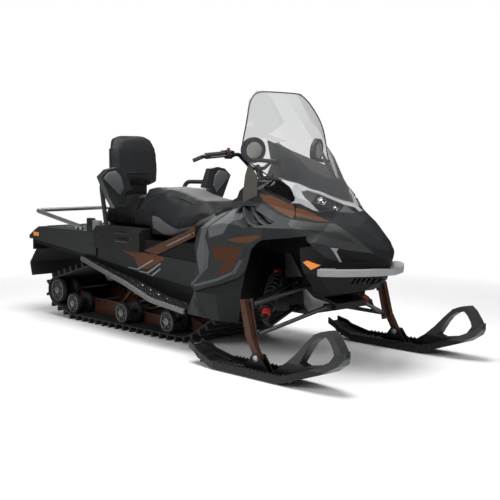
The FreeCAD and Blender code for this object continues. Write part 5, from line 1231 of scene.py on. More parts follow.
@dataclass
class SoftPart:
    """A padded cushion grown from a soft solid of the frame."""

    node: str
    finish: object
    shrink: float = 0.010
    puff: float = 0.012
    voxel: float = 0.008
    rounding: int = 16
    calming: int = 14
    pressure: float = 4.0
    tension: float = 25.0
    bending: float = 2.0
    quality: int = 4
    frames: int = 16
    fill: float = 0.9

    def copy(self) -> Piece:
        """Make a fine, slightly smaller copy of the solid.

        Returns:
            The copy.
        """
        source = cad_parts[self.node]
        name = "soft_" + self.node
        piece = bpy.data.objects.new(name, source.data.copy())
        bpy.context.collection.objects.link(piece)
        piece.matrix_world = source.matrix_world.copy()
        settled(piece, name)
        applied(piece, "REMESH", mode="VOXEL", voxel_size=self.voxel)
        applied(piece, "SMOOTH", factor=0.5, iterations=self.rounding)
        return applied(piece, "DISPLACE", strength=-self.shrink, mid_level=0.0)

    def inflate(self, piece: Piece) -> None:
        """Swell the copy with cloth pressure, and hold how far each point may move.

        Args:
            piece: the copy.
        """
        before = [vertex.co.copy() for vertex in piece.data.vertices]
        modifier = piece.modifiers.new("cloth", "CLOTH")
        settings = modifier.settings
        settings.quality = self.quality
        settings.use_pressure = True
        settings.uniform_pressure_force = self.pressure
        settings.effector_weights.gravity = 0.0
        settings.tension_stiffness = self.tension
        settings.bending_stiffness = self.bending
        modifier.point_cache.frame_start = 1
        modifier.point_cache.frame_end = self.frames
        for frame_number in range(1, self.frames + 1):
            bpy.context.scene.frame_set(frame_number)
        select_only(piece)
        bpy.ops.object.modifier_apply(modifier=modifier.name)
        bpy.context.scene.frame_set(1)
        for vertex, start in zip(piece.data.vertices, before):
            shift = vertex.co - start
            if shift.length > self.puff:
                vertex.co = start + shift.normalized() * self.puff

    def build(self) -> Piece:
        """Add the finished cushion, which stands for its CAD solid.

        Returns:
            The cushion.
        """
        piece = self.copy()
        self.inflate(piece)
        applied(piece, "SMOOTH", factor=0.5, iterations=self.calming)
        smooth(outward(applied(piece, "SUBSURF", levels=1)), ROUND_ANGLE)
        added(piece.name, [piece], self.finish)
        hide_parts(self.node)
        return piece


@dataclass
class Seams:
    """The piped seams of the cushions, laid on their surfaces."""

    radius: float = 0.0036
    lift_share: float = 0.2
    piping: Colour = (0.020, 0.021, 0.022)
    side_lines: tuple[tuple[str, tuple[Flat, ...]], ...] = (
        ("driver_seat", (
            (-0.380, 0.700), (-0.345, 0.760), (-0.300, 0.812), (-0.220, 0.838), (-0.090, 0.826),
            (0.060, 0.790), (0.180, 0.768), (0.220, 0.760))),
        ("passenger_seat", (
            (-0.730, 0.745), (-0.640, 0.760), (-0.520, 0.765), (-0.430, 0.760))),
    )
    pad_line: tuple[Flat, ...] = (
        (-0.150, 0.893), (-0.092, 0.965), (0.0, 0.968), (0.092, 0.965), (0.150, 0.893),
    )

    def seam(self, name: str, places: Sequence[Vector | None]) -> list[Piece]:
        """Make one seam through the places that were met, if enough were."""
        points = [place for place in places if place is not None]
        return [tube(name, points, self.radius)] if len(points) > 2 else []

    def build(self, cushions: dict[str, Piece]) -> None:
        """Add the seams of all cushions.

        Args:
            cushions: the finished cushions, by the names of their nodes.
        """
        lift = self.radius * self.lift_share
        for name, line in self.side_lines:
            skin = Skin(piece=cushions[name])
            seams = on_both(lambda side: self.seam("seam", [
                skin.from_side(front, up, side, lift) for front, up in line]))
            added("seam_" + name, seams, Vinyl("piping_" + name, self.piping))
        skin = Skin(piece=cushions["backrest_pad"])
        found = [skin.hit(Vector((0.0, left, up)), Vector((-1, 0, 0)))
                 for left, up in self.pad_line]
        places = [None if hit is None else hit[0] + hit[1] * lift for hit in found]
        added("seam_backrest", self.seam("seam_backrest", places),
              Vinyl("piping_pad", self.piping))


# Running gear


@dataclass
class Wheels:
    """Rims, hubs and bolts on the outer faces of the track's wheels."""

    rows: tuple[tuple[float, float, float], ...] = (
        (-1.235, 0.175, 0.082), (-1.050, 0.105, 0.066), (-0.505, 0.105, 0.066),
        (-0.055, 0.105, 0.066), (-0.620, 0.360, 0.066),
    )
    face: float = 0.2852
    rim_share: float = 0.80
    rim_wire: float = 0.0026
    rim_sink: float = 0.001
    hub_radius: float = 0.022
    hub_reach: Pair = (-0.004, 0.005)
    cap_reach: Pair = (0.004, 0.010)
    bolt_share: float = 0.52
    bolt_sink: float = 0.006
    bolt_radius: float = 0.0042
    bolt_count: int = 6

    def wheel(self, front: float, up: float, radius: float, side: int) -> list[Piece]:
        """Make the rim, hub, cap and bolts of one wheel's outer face.

        Args:
            front: the wheel's place along the machine.
            up: the height of its centre.
            radius: its radius.
            side: -1 for the right side, 1 for the left.

        Returns:
            The parts, not yet joined.
        """
        out = Vector((0, side, 0))
        centre = Vector((front, self.face * side, up))
        hub = [centre + out * reach for reach in self.hub_reach]
        cap = [centre + out * reach for reach in self.cap_reach]
        parts = [
            ring("rim", centre - out * self.rim_sink, out, radius * self.rim_share,
                 self.rim_wire),
            round_bar("hub", *hub, self.hub_radius),
            round_bar("cap", *cap, self.hub_radius * 0.5, 6),
        ]
        for index in range(self.bolt_count):
            turn = 2 * math.pi * index / self.bolt_count
            spoke = Vector((math.cos(turn), 0, math.sin(turn)))
            place = centre + spoke * radius * self.bolt_share - out * self.bolt_sink
            parts.append(round_bar("bolt", place, place + out * self.bolt_sink,
                                   self.bolt_radius, 6, 0.0004))
        return parts

    def build(self) -> None:
        """Add the details of every outer wheel."""
        parts = [part for row in self.rows for side in SIDES for part in self.wheel(*row, side)]
        added("wheel_faces", parts, Metal("rim_alloy", (0.24, 0.24, 0.245), 0.45))


@dataclass
class Shocks:
    """The coil springs and collars of the front shocks."""

    head: Point = (0.722, 0.133, 0.478)
    foot: Point = (0.893, 0.405, 0.262)
    coil_radius: float = 0.0365
    wire: float = 0.0042
    turns: int = 8
    turn_steps: int = 14
    start_share: float = 0.22
    end_share: float = 0.86
    collar_radius: float = 0.0215
    collar_places: tuple[Flat, ...] = ((0.13, 0.02), (0.205, 0.012), (0.93, 0.02))

    def coil(self, side: int) -> list[Piece]:
        """Make the spring on one side.

        Args:
            side: -1 for the right side, 1 for the left.

        Returns:
            The spring.
        """
        head = on_side(self.head, side)
        along = on_side(self.foot, side) - head
        first = along.normalized().orthogonal().normalized()
        second = along.normalized().cross(first)
        steps = self.turns * self.turn_steps
        points = []
        for index in range(steps + 1):
            share = self.start_share + (self.end_share - self.start_share) * index / steps
            angle = 2 * math.pi * self.turns * index / steps
            across = first * math.cos(angle) + second * math.sin(angle)
            points.append(head + along * share + across * self.coil_radius)
        return [tube("coil", points, self.wire, 2)]

    def collars(self, side: int) -> list[Piece]:
        """Make the red collars on one side.

        Args:
            side: -1 for the right side, 1 for the left.

        Returns:
            The collars.
        """
        head = on_side(self.head, side)
        along = on_side(self.foot, side) - head
        made = []
        for share, half in self.collar_places:
            middle = head + along * share
            reach = along.normalized() * half
            made.append(round_bar("collar", middle - reach, middle + reach, self.collar_radius))
        return made

    def build(self) -> None:
        """Add the springs and the collars."""
        added("front_springs", on_both(self.coil),
              Moulded("spring_black", SOFT_BLACK, 0.3, coat=0.3))
        added("spring_collars", on_both(self.collars),
              Moulded("collar_red", (0.35, 0.012, 0.010), 0.35))


@dataclass
class Skis:
    """The moulded ribs in the skis' wells and the bolts at their saddles."""

    spread: float = 0.54
    floor: float = 0.020
    rib_size: Point = (0.004, 0.066, 0.010)
    rib_pitch: float = 0.050
    rib_offset: float = 0.036
    rib_turn: float = 28.0
    rib_ease: float = 0.0012
    keel_offset: float = 0.006
    keel_height: float = 0.013
    first: float = 0.64
    last: float = 1.17
    lead: float = 0.02
    trail: float = 0.03
    clear: Pair = (0.885, 1.095)
    wall: float = 0.082
    wall_top: float = 0.16
    tooth_pitch: float = 0.026
    tooth_count: int = 24
    tooth_size: Point = (0.010, 0.005, 0.007)
    tooth_lift: float = 0.002
    bolt: Point = (0.99, 0.0225, 0.086)
    washer: Pair = (0.003, 0.017)
    nut: Pair = (0.0045, 0.012)

    def ribs(self, side: int) -> list[Piece]:
        """Make the slanted cross ribs and the two long ribs of one ski.

        Args:
            side: -1 for the right side, 1 for the left.

        Returns:
            The ribs, not yet joined.
        """
        middle = self.spread * side
        thickness, _, height = self.rib_size
        up = self.floor + height / 2
        made = []
        for index in range(int((self.last - self.first) / self.rib_pitch) + 1):
            front = self.first + index * self.rib_pitch
            if self.clear[0] < front < self.clear[1]:
                continue
            for half in SIDES:
                place = Vector((front, middle + half * self.rib_offset, up))
                turn = (0.0, 0.0, math.radians(self.rib_turn * half))
                made.append(block("rib", place, self.rib_size, turn, self.rib_ease))
        stretches = ((self.first - self.lead, self.clear[0]),
                     (self.clear[1], self.last + self.trail))
        for half in SIDES:
            for start, end in stretches:
                centre = Vector(((start + end) / 2, middle + half * self.keel_offset, up))
                size = (end - start, thickness, self.keel_height)
                made.append(block("keel", centre, size, ease=self.rib_ease))
        return made

    def teeth(self, skin: Skin, side: int) -> list[Piece]:
        """Make the low teeth along the tops of one ski's walls.

        Args:
            skin: the ski's surface.
            side: -1 for the right side, 1 for the left.

        Returns:
            The teeth, not yet joined.
        """
        made = []
        for index in range(self.tooth_count):
            front = self.first + index * self.tooth_pitch
            for half in SIDES:
                top = skin.from_top(front, self.spread * side + half * self.wall)
                if top is not None and top.z < self.wall_top:
                    made.append(block("tooth", top + Vector((0, 0, self.tooth_lift)),
                                      self.tooth_size, ease=self.rib_ease))
        return made

    def bolts(self, side: int) -> list[Piece]:
        """Make the nuts and washers at the ski bolt.

        Args:
            side: -1 for the right side, 1 for the left.

        Returns:
            The nuts and washers, not yet joined.
        """
        front, half_width, up = self.bolt
        made = []
        for half in SIDES:
            face = Vector((front, self.spread * side + half * half_width, up))
            out = Vector((0, half, 0))
            seat = face + out * self.washer[0]
            made.append(round_bar("washer", face, seat, self.washer[1]))
            made.append(round_bar("nut", seat, seat + out * self.nut[0], self.nut[1], 6))
        return made

    def build(self) -> None:
        """Add the details of both skis, each on its own body."""
        for side, word in ((-1, "right"), (1, "left")):
            body = "ski_" + word
            details = self.ribs(side) + self.teeth(Skin(body), side)
            added("ski_ribs_" + word, details, Moulded("rib_black_" + word, SOFT_BLACK, 0.4),
                  body)
            added("ski_nuts_" + word, self.bolts(side),
                  Metal("nut_steel_" + word, (0.45, 0.45, 0.46)), body)


# Front end


@dataclass
class Shield:
    """The windshield's dark edge."""

    edge_radius: float = 0.0036
    edge: tuple[Point, ...] = (
        (0.803, 0.237, 0.905), (0.799, 0.237, 0.938), (0.700, 0.298, 1.020), (0.646, 0.330, 1.062),
        (0.640, 0.326, 1.126), (0.641, 0.292, 1.246), (0.602, 0.236, 1.358), (0.588, 0.172, 1.410),
        (0.612, 0.092, 1.411), (0.617, 0.0, 1.411),
    )

    def build(self) -> None:
        """Add the dark edge, from the right foot to the left one."""
        right = [on_side(point, -1) for point in self.edge]
        left = [on_side(point, 1) for point in reversed(self.edge[:-1])]
        added("shield_edge", [tube("shield_edge", right + left, self.edge_radius)],
              Moulded("edge_smoke", (0.016, 0.017, 0.018), 0.3))


@dataclass
class MirrorFaces:
    """The glasses of the mirrors and the pale caps on their backs."""

    centre: Point = (0.64, 0.245, 1.10)
    facing: Point = (-0.91, -0.31, 0.12)
    glass_radius: float = 0.0505
    glass_reach: Pair = (0.006, 0.004)
    cap_radius: float = 0.044
    cap_reach: Pair = (0.011, 0.014)
    sides: int = 40

    def disc(self, name: str, side: int, radius: float, reach: Sequence[float],
             ease: float) -> list[Piece]:
        """Make a round disc across one mirror's axis.

        Args:
            name: the disc's name.
            side: -1 for the right side, 1 for the left.
            radius: its radius.
            reach: how far its two faces lie behind the mirror's centre.
            ease: the rounding of its edges.

        Returns:
            The disc.
        """
        centre = on_side(self.centre, side)
        facing = on_side(self.facing, side).normalized()
        near, far = (centre - facing * depth for depth in reach)
        return [round_bar(name, near, far, radius, self.sides, ease)]

    def build(self) -> None:
        """Add the glasses and the caps."""
        glasses = on_both(lambda side: self.disc("glass", side, self.glass_radius,
                                                 self.glass_reach, 0.0))
        added("mirror_glasses", glasses,
              Metal("mirror_silver", (0.75, 0.76, 0.77), 0.14, edge_radius=0.0005))
        caps = on_both(lambda side: self.disc("cap", side, self.cap_radius, self.cap_reach,
                                              0.0012))
        added("mirror_caps", caps, Moulded("cap_grey", (0.55, 0.54, 0.50), 0.4))


@dataclass
class Lamps:
    """The headlamp projectors, the amber side markers and the silver strokes on the nose."""

    projectors: tuple[tuple[Flat, float], ...] = (((1.030, 0.135), 0.021), ((1.092, 0.098), 0.013))
    dome_scale: Point = (1.0, 1.0, 0.8)
    dome_sink: float = 0.45
    bezel_share: float = 0.98
    bezel_wire: float = 0.12
    bezel_lift: float = 0.001
    marker: tuple[Flat, ...] = ((1.049, 0.543), (1.068, 0.552), (1.124, 0.531), (1.081, 0.506))
    marker_thickness: float = 0.006
    strokes: tuple[tuple[Flat, ...], ...] = (
        ((1.166, 0.618), (1.196, 0.614), (1.188, 0.600), (1.174, 0.603)),
        ((1.173, 0.608), (1.185, 0.606), (1.200, 0.546), (1.191, 0.546)),
    )
    stroke_thickness: float = 0.004
    lift_share: float = 0.2

    def lens(self, skin: Skin, place: Flat, radius: float, side: int) -> list[Piece]:
        """Make one projector lens and its ring, seated on the lamp cover.

        Args:
            skin: the lamp cover's surface.
            place: the lens's place, forward and to the left.
            radius: its radius.
            side: -1 for the right side, 1 for the left.

        Returns:
            The lens and its ring, or nothing where the cover isn't met.
        """
        found = skin.below(place[0], place[1] * side)
        if found is None:
            return []
        here, normal = found
        bpy.ops.mesh.primitive_uv_sphere_add(
            segments=32, ring_count=16, radius=radius,
            location=here - normal * radius * self.dome_sink, rotation=turned_to(normal),
            scale=self.dome_scale)
        dome = smooth(settled(bpy.context.object, "lens"), ROUND_ANGLE)
        return [dome, ring("bezel", here + normal * self.bezel_lift, normal,
                           radius * self.bezel_share, radius * self.bezel_wire)]

    def on_panel(self, name: str, skin: Skin, outline: Sequence[Flat], side: int,
                 thickness: float) -> list[Piece]:
        """Make a plate that lies on the panel behind a side-view outline.

        Args:
            name: the plate's name.
            skin: the panel's surface.
            outline: the outline in side view.
            side: -1 for the right side, 1 for the left.
            thickness: the plate's wall.

        Returns:
            The plate, or nothing where a corner misses the panel.
        """
        places = [skin.from_side(front, up, side) for front, up in outline]
        if any(place is None for place in places):
            return []
        out = (places[1] - places[0]).cross(places[2] - places[0]).normalized()
        if out.y * side < 0:
            out = -out
        return [draped(name, skin, places, out, thickness * self.lift_share, thickness)]

    def build(self) -> None:
        """Add the lenses, the markers and the strokes."""
        lamp, belly, nose = Skin("headlamps"), Skin("belly_pan"), Skin("nose", "belly_pan")
        lenses = on_both(lambda side: [
            part for place, radius in self.projectors
            for part in self.lens(lamp, place, radius, side)])
        added("lamp_lenses", lenses, Metal("lens_silver", (0.30, 0.31, 0.33), 0.2))
        markers = on_both(lambda side: self.on_panel("marker", belly, self.marker, side,
                                                     self.marker_thickness))
        added("side_markers", markers, Lens("marker_amber", (0.95, 0.26, 0.01), 0.35))
        strokes = on_both(lambda side: [
            part for outline in self.strokes
            for part in self.on_panel("stroke", nose, outline, side, self.stroke_thickness)])
        added("nose_strokes", strokes, Moulded("stroke_silver", SILVER, 0.35))


@dataclass
class Cockpit:
    """Levers, switches and the kill button."""

    pod: Point = (0.413, 0.216, 1.078)
    lever_end: Point = (0.420, 0.352, 1.060)
    root: Point = (0.030, 0.0, 0.0)
    knee: Point = (0.020, 0.030, -0.006)
    bow: Point = (0.014, 0.0, 0.0)
    lever_radius: float = 0.0055
    clamp: tuple[Point, Point, float] = ((0.018, 0.0, 0.002), (0.034, 0.030, 0.036), 0.004)
    switches: tuple[Point, Point, float] = ((-0.022, 0.010, 0.006), (0.022, 0.040, 0.034), 0.005)
    button_lift: float = 0.022
    button_size: Pair = (0.014, 0.009)

    def lever(self, side: int) -> list[Piece]:
        """Make one hand lever, its clamp and its switch box.

        Args:
            side: -1 for the right side, 1 for the left.

        Returns:
            The parts, not yet joined.
        """
        pod, end = on_side(self.pod, side), on_side(self.lever_end, side)
        root = pod + on_side(self.root, side)
        knee = root + on_side(self.knee, side)
        bend = (knee + end) / 2 + on_side(self.bow, side)
        made = [tube("lever", [root, knee, bend, end], self.lever_radius)]
        for name, (offset, size, ease) in (("clamp", self.clamp), ("switches", self.switches)):
            made.append(block(name, pod + on_side(offset, side), size, ease=ease))
        return made

    def build(self) -> None:
        """Add the levers and the button."""
        added("hand_levers", on_both(self.lever), Moulded("lever_black", BLACK, 0.35),
              "handlebar")
        height, radius = self.button_size
        top = on_side(self.pod, -1) + Vector((0, 0, self.button_lift))
        added("kill_button", [round_bar("kill_button", top, top + Vector((0, 0, height)), radius)],
              Moulded("button_red", (0.45, 0.01, 0.01), 0.35), "handlebar")


@dataclass
class Brackets:
    """The grey cast brackets that show between the panels and the front arms."""

    outlines: tuple[tuple[Flat, ...], ...] = (
        ((0.760, 0.560), (0.800, 0.556), (0.885, 0.440), (0.760, 0.430)),
        ((0.885, 0.392), (0.917, 0.376), (0.965, 0.340), (1.075, 0.322), (1.060, 0.304),
         (0.935, 0.262), (0.900, 0.285)),
    )
    spread: float = 0.1215
    thickness: float = 0.006
    ease: float = 0.0015

    def bracket(self, side: int) -> list[Piece]:
        """Make the two brackets of one side.

        Args:
            side: -1 for the right side, 1 for the left.

        Returns:
            The brackets.
        """
        made = []
        for outline in self.outlines:
            corners = [Vector((front, self.spread * side, up)) for front, up in outline]
            made.append(plate("bracket", corners, self.thickness, self.ease))
        return made

    def build(self) -> None:
        """Add the brackets."""
        added("frame_brackets", on_both(self.bracket),
              Metal("bracket_alloy", (0.30, 0.30, 0.31), 0.5))


@dataclass
class Intakes:
    """The black mesh panels of the hood's intakes and the mesh behind the grille."""

    corners: tuple[Point, ...] = (
        (0.752, 0.274, 0.906), (0.799, 0.245, 0.946), (0.872, 0.228, 0.916),
        (0.930, 0.234, 0.860), (0.929, 0.245, 0.843),
    )
    lift: float = 0.0020
    thickness: float = 0.003
    frame_radius: float = 0.0035
    rim_shares: tuple[float, ...] = (0.0, 0.12, 0.5, 0.88)
    grille_centre: Point = (1.186, 0.0, 0.4515)
    grille_size: Point = (0.005, 0.200, 0.046)

    def mesh(self, skin: Skin, side: int) -> list[Piece]:
        """Make one mesh panel and the rim around it.

        Args:
            skin: the surface of the fairing and the hood.
            side: -1 for the right side, 1 for the left.

        Returns:
            The panel and its rim.
        """
        corners = [on_side(point, side) for point in self.corners]
        out = (corners[1] - corners[0]).cross(corners[3] - corners[0]).normalized()
        if out.y * side < 0:
            out = -out
        panel = draped("mesh", skin, corners, out, self.lift, self.thickness)
        rim = []
        for here, after in zip(corners, corners[1:] + corners[:1]):
            for share in self.rim_shares:
                place = here.lerp(after, share)
                seat = skin.under(place, out)
                rim.append((place if seat is None else seat) + out * self.lift)
        return [panel, tube("rim", rim, self.frame_radius, closed=True)]

    def build(self) -> None:
        """Add the panels."""
        skin = Skin("fairing", "hood")
        added("intake_meshes", on_both(lambda side: self.mesh(skin, side)),
              Moulded("mesh_black", VOID, 0.85, grain=240.0, grain_depth=0.002, edge_light=0.1,
                      specular=0.05))
        added("grille_mesh",
              [block("grille_mesh", Vector(self.grille_centre), self.grille_size, ease=0.0005)],
              Moulded("grille_black", VOID, 0.85, grain=240.0, grain_depth=0.002))


# Seat and deck


@dataclass
class PadBoot:
    """The moulded boot between the seat and the backrest pad."""

    centre: Point = (-0.765, 0.0, 0.850)
    size: Point = (0.080, 0.200, 0.110)
    ease: float = 0.018

    def build(self) -> None:
        """Add the boot."""
        added("pad_boot", [block("pad_boot", Vector(self.centre), self.size, ease=self.ease)],
              Moulded("boot_black", BLACK, 0.5))


@dataclass
class Grips:
    """The raised, toothed rims along the slots of the foot boards."""

    back: float = -0.840
    pitch: float = 0.080
    count: int = 13
    slot: Flat = (0.052, 0.016)
    inset: float = 0.001
    margin: float = 0.002
    rise: float = 0.007
    root_share: float = 0.2
    gap_share: float = 0.45
    thickness: float = 0.0022
    teeth: int = 5
    tunnel: float = 0.325
    edge: tuple[Flat, ...] = ((-0.840, 0.345), (-0.280, 0.425), (0.020, 0.452), (0.318, 0.452))

    def half_width(self, front: float) -> float:
        """Measure the boards' outer edge.

        Args:
            front: the place along the machine.

        Returns:
            The half width over the boards there.
        """
        for (near, width), (far, wider) in zip(self.edge, self.edge[1:]):
            if front <= far:
                return width + (wider - width) * (front - near) / (far - near)
        return self.edge[-1][1]

    def rim(self, skin: Skin, front: float, left: float) -> list[Piece]:
        """Make the toothed plate along one side of a slot.

        Args:
            skin: the boards' surface.
            front: the middle of the slot, along the machine.
            left: the plate's place across the machine.

        Returns:
            The plate, or nothing where an end misses the board.
        """
        reach = self.slot[0] / 2 - self.inset
        back, ahead = (skin.from_top(front + along, left) for along in (-reach, reach))
        if back is None or ahead is None:
            return []
        up = Vector((0, 0, self.rise))
        corners = [back - up * self.root_share, ahead - up * self.root_share]
        for step in range(self.teeth * 2 + 1):
            height = 1.0 if step % 2 else self.gap_share
            corners.append(ahead.lerp(back, step / (self.teeth * 2)) + up * height)
        return [plate("rim", corners, self.thickness, 0.0)]

    def board(self, skin: Skin, side: int) -> list[Piece]:
        """Make the rims of one board.

        Args:
            skin: the boards' surface.
            side: -1 for the right side, 1 for the left.

        Returns:
            The rims, not yet joined.
        """
        made: list[Piece] = []
        length, width = self.slot
        for index in range(1, self.count + 1):
            front = self.back + index * self.pitch
            span = self.half_width(front) - self.tunnel
            rows = max(1, int(span / length))
            for row in range(rows):
                left = self.tunnel + span * (row + 1) / (rows + 1)
                for away in SIDES:
                    edge = left + away * (width / 2 + self.margin)
                    made += self.rim(skin, front, edge * side)
        return made

    def build(self) -> None:
        """Add the rims of both boards."""
        skin = Skin("running_boards")
        added("board_grips", on_both(lambda side: self.board(skin, side)),
              Moulded("grip_black", BLACK, 0.5))


@dataclass
class GuardShells:
    """The raised, rounded front faces of the hand guards."""

    front: float = -0.372
    slack: float = 0.02
    depth: float = 0.012
    lift_share: float = 0.3
    ease_share: float = 0.45
    outline: tuple[Flat, ...] = (
        (0.440, 0.800), (0.380, 0.838), (0.352, 0.882), (0.372, 0.950), (0.408, 0.985),
        (0.462, 0.975), (0.498, 0.940), (0.490, 0.880),
    )

    def shell(self, skin: Skin, side: int) -> list[Piece]:
        """Make one raised face, where its corners lie on the guard.

        Args:
            skin: the guards' surface.
            side: -1 for the right side, 1 for the left.

        Returns:
            The face, or nothing where the guard isn't met.
        """
        corners = []
        for left, up in self.outline:
            found = skin.hit(Vector((1.0, left * side, up)), Vector((-1, 0, 0)))
            if found is not None and found[0].x > self.front - self.slack:
                corners.append(found[0] + Vector((self.depth * self.lift_share, 0, 0)))
        if len(corners) < 4:
            return []
        return [plate("shell", corners, self.depth, self.depth * self.ease_share)]

    def build(self) -> None:
        """Add the raised faces."""
        skin = Skin("hand_guards")
        added("guard_shells", on_both(lambda side: self.shell(skin, side)),
              Moulded("shell_graphite", (0.080, 0.084, 0.088), 0.3, coat=0.3))


@dataclass
class Deck:
    """The slots of the storage boxes and the latches before the deck."""

    side: float = 0.35
    slot_places: tuple[Point, ...] = ((-0.410, 0.614, 0.018), (-0.405, 0.569, 0.030))
    slot_length: float = 0.130
    slot_depth: float = 0.006
    latch: Point = (-0.790, 0.305, 0.640)
    latch_size: Point = (0.055, 0.036, 0.085)
    clip: Point = (-0.722, 0.305, 0.636)
    clip_size: Point = (0.070, 0.032, 0.070)
    rib_count: int = 4
    rib_start: float = -0.024
    rib_pitch: float = 0.016
    rib_size: Point = (0.063, 0.004, 0.006)

    def slots(self, side: int) -> list[Piece]:
        """Make the two slots on one box.

        Args:
            side: -1 for the right side, 1 for the left.

        Returns:
            The slots.
        """
        made = []
        for front, up, height in self.slot_places:
            centre = Vector((front, self.side * side, up))
            size = (self.slot_length, self.slot_depth, height)
            made.append(block("slot", centre, size, ease=0.002))
        return made

    def clips(self, side: int) -> list[Piece]:
        """Make the ribbed clip of one latch.

        Args:
            side: -1 for the right side, 1 for the left.

        Returns:
            The clip and its ribs.
        """
        made = [block("clip", on_side(self.clip, side), self.clip_size, ease=0.006)]
        x, y, z = self.clip
        for index in range(self.rib_count):
            up = z + self.rib_start + self.rib_pitch * index
            place = Vector((x, (y + self.clip_size[1] / 2) * side, up))
            made.append(block("rib", place, self.rib_size, ease=0.0015))
        return made

    def build(self) -> None:
        """Add the slots and the latches."""
        added("box_slots", on_both(self.slots), Moulded("slot_black", VOID, 0.3, coat=0.4))
        brackets = on_both(lambda side: [
            block("bracket", on_side(self.latch, side), self.latch_size, ease=0.006)])
        added("latch_brackets", brackets, Moulded("latch_black", BLACK))
        added("deck_latches", on_both(self.clips),
              Moulded("latch_grey", (0.15, 0.155, 0.16), 0.42))


@dataclass
class Bolts:
    """Hexagon heads where the panels and plates are fixed."""

    radius: float = 0.006
    height: float = 0.004
    sink: float = 0.001
    places: tuple[tuple[str, float, float], ...] = (
        ("seat_braces", 0.020, 0.540), ("seat_braces", 0.050, 0.520),
        ("seat_braces", 0.245, 0.640), ("tunnel_covers", -0.560, 0.475),
        ("tunnel_covers", 0.270, 0.420), ("tunnel_covers", -0.120, 0.400),
        ("cargo_deck", -0.760, 0.520), ("cargo_deck", -1.300, 0.520),
        ("cargo_deck", -1.020, 0.560), ("side_panels", 0.372, 0.560),
        ("side_panels", 0.366, 0.470), ("side_panels", 0.400, 0.700),
        ("seat_base", -0.640, 0.580), ("seat_base", -0.300, 0.580),
    )

    def build(self) -> None:
        """Add every bolt head, seated on the panel that a side ray meets."""
        heads = []
        skins = {name: Skin(name) for name in {place[0] for place in self.places}}
        for name, front, up in self.places:
            for side in SIDES:
                found = skins[name].beside(front, up, side)
                if found is not None:
                    here, normal = found
                    heads.append(round_bar("bolt", here - normal * self.sink,
                                           here + normal * self.height, self.radius, 6))
        added("bolt_heads", heads, Metal("bolt_steel", (0.09, 0.09, 0.092), 0.45))


# Studio


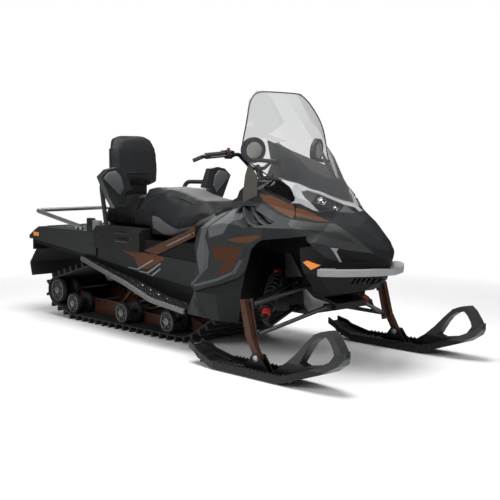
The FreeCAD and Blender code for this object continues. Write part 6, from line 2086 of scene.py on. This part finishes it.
@dataclass
class Studio:
    """The pale floor, the lights and the camera."""

    eye: Point = (4.2916, -3.7152, 1.0468)
    azimuth: float = 46.654
    elevation: float = 5.384
    lens: float = 68.63
    floor_size: float = 12.0
    floor_shade: float = 0.95
    floor_mottle: float = 0.985
    floor_roughness: float = 0.7
    floor_reach: Pair = (2.0, 3.6)
    sky_light: float = 0.16
    lights: tuple[tuple[str, Point, Point, float, float], ...] = (
        ("roof", (0.2, -0.3, 3.6), (0.0, 0.0, 0.3), 2.6, 165.0),
        ("front", (4.8, -1.0, 2.6), (0.3, 0.0, 0.6), 1.6, 70.0),
        ("side", (-0.6, -4.6, 2.2), (0.0, 0.0, 0.5), 1.6, 80.0),
        ("rim", (-3.4, 2.8, 2.8), (0.0, 0.0, 0.6), 1.8, 60.0),
    )

    def add_floor(self) -> None:
        """Add the pale floor that fades into the background."""
        bpy.ops.object.select_all(action="DESELECT")
        bpy.ops.mesh.primitive_plane_add(size=self.floor_size)
        floor = bpy.context.object
        floor.name = "floor"
        graph = Graph("floor_pale")
        shade = self.floor_shade
        tone = graph.mix(graph.noise(1.5), (shade, shade, shade), (shade * self.floor_mottle,) * 3)
        near, far = self.floor_reach
        x, y, _ = graph.axes()
        fade = (((x * x + y * y) ** 0.5 - near) / (far - near)).held()
        solid = graph.node("ShaderNodeBsdfPrincipled", {}, {
            "Base Color": tone, "Roughness": self.floor_roughness})
        open_air = graph.node("ShaderNodeBsdfTransparent", {}, {})
        both = graph.node("ShaderNodeMixShader", {}, {
            0: fade, 1: solid.outputs[0], 2: open_air.outputs[0]})
        graph.node("ShaderNodeOutputMaterial", {}, {"Surface": both.outputs[0]})
        floor.data.materials.append(graph.material)

    def add_lights(self) -> None:
        """Add the soft boxes and the pale surroundings."""
        for name, place, target, size, power in self.lights:
            bpy.ops.object.light_add(type="AREA", location=place)
            lamp = bpy.context.object
            lamp.name = name
            lamp.data.size = size
            lamp.data.energy = power
            aim = Vector(target) - Vector(place)
            lamp.rotation_euler = aim.to_track_quat("-Z", "Y").to_euler()
        world = bpy.data.worlds.new("pale_room")
        world.use_nodes = True
        tree = world.node_tree
        back = tree.nodes["Background"]
        back.inputs[0].default_value = (1.0, 1.0, 1.0, 1.0)
        seen = tree.nodes.new("ShaderNodeLightPath").outputs["Is Camera Ray"]
        strength = tree.nodes.new("ShaderNodeMath")
        strength.operation = "MULTIPLY_ADD"
        strength.inputs[1].default_value = 1.0 - self.sky_light
        strength.inputs[2].default_value = self.sky_light
        tree.links.new(seen, strength.inputs[0])
        tree.links.new(strength.outputs[0], back.inputs[1])
        bpy.context.scene.world = world

    def add_camera(self) -> None:
        """Add the camera at the photograph's angle."""
        turn, rise = math.radians(self.azimuth), math.radians(self.elevation)
        back = Vector((math.sin(turn) * math.cos(rise), -math.cos(turn) * math.cos(rise),
                       math.sin(rise)))
        bpy.ops.object.camera_add(location=self.eye)
        camera = bpy.context.object
        camera.rotation_mode = "QUATERNION"
        camera.rotation_quaternion = (-back).to_track_quat("-Z", "Y")
        camera.data.lens = self.lens
        bpy.context.scene.camera = camera
        bpy.context.scene.view_settings.view_transform = "Standard"

    def build(self) -> None:
        """Add the whole studio."""
        self.add_camera()
        self.add_lights()
        self.add_floor()


def main() -> None:
    """Build the looks in order."""
    logging.basicConfig(level=logging.INFO, format="%(name)s: %(message)s")
    Studio().build()
    dress_frame()
    cushions = {name: SoftPart(name, FINISHES[name]).build()
                for name in ("driver_seat", "passenger_seat", "backrest_pad")}
    Seams().build(cushions)
    for part in (Wheels(), Shocks(), Skis(), Shield(), MirrorFaces(), Lamps(), Cockpit(),
                 Brackets(), Intakes(), PadBoot(), Grips(), GuardShells(), Deck(), Bolts()):
        part.build()


if __name__ == "__main__":
    main()
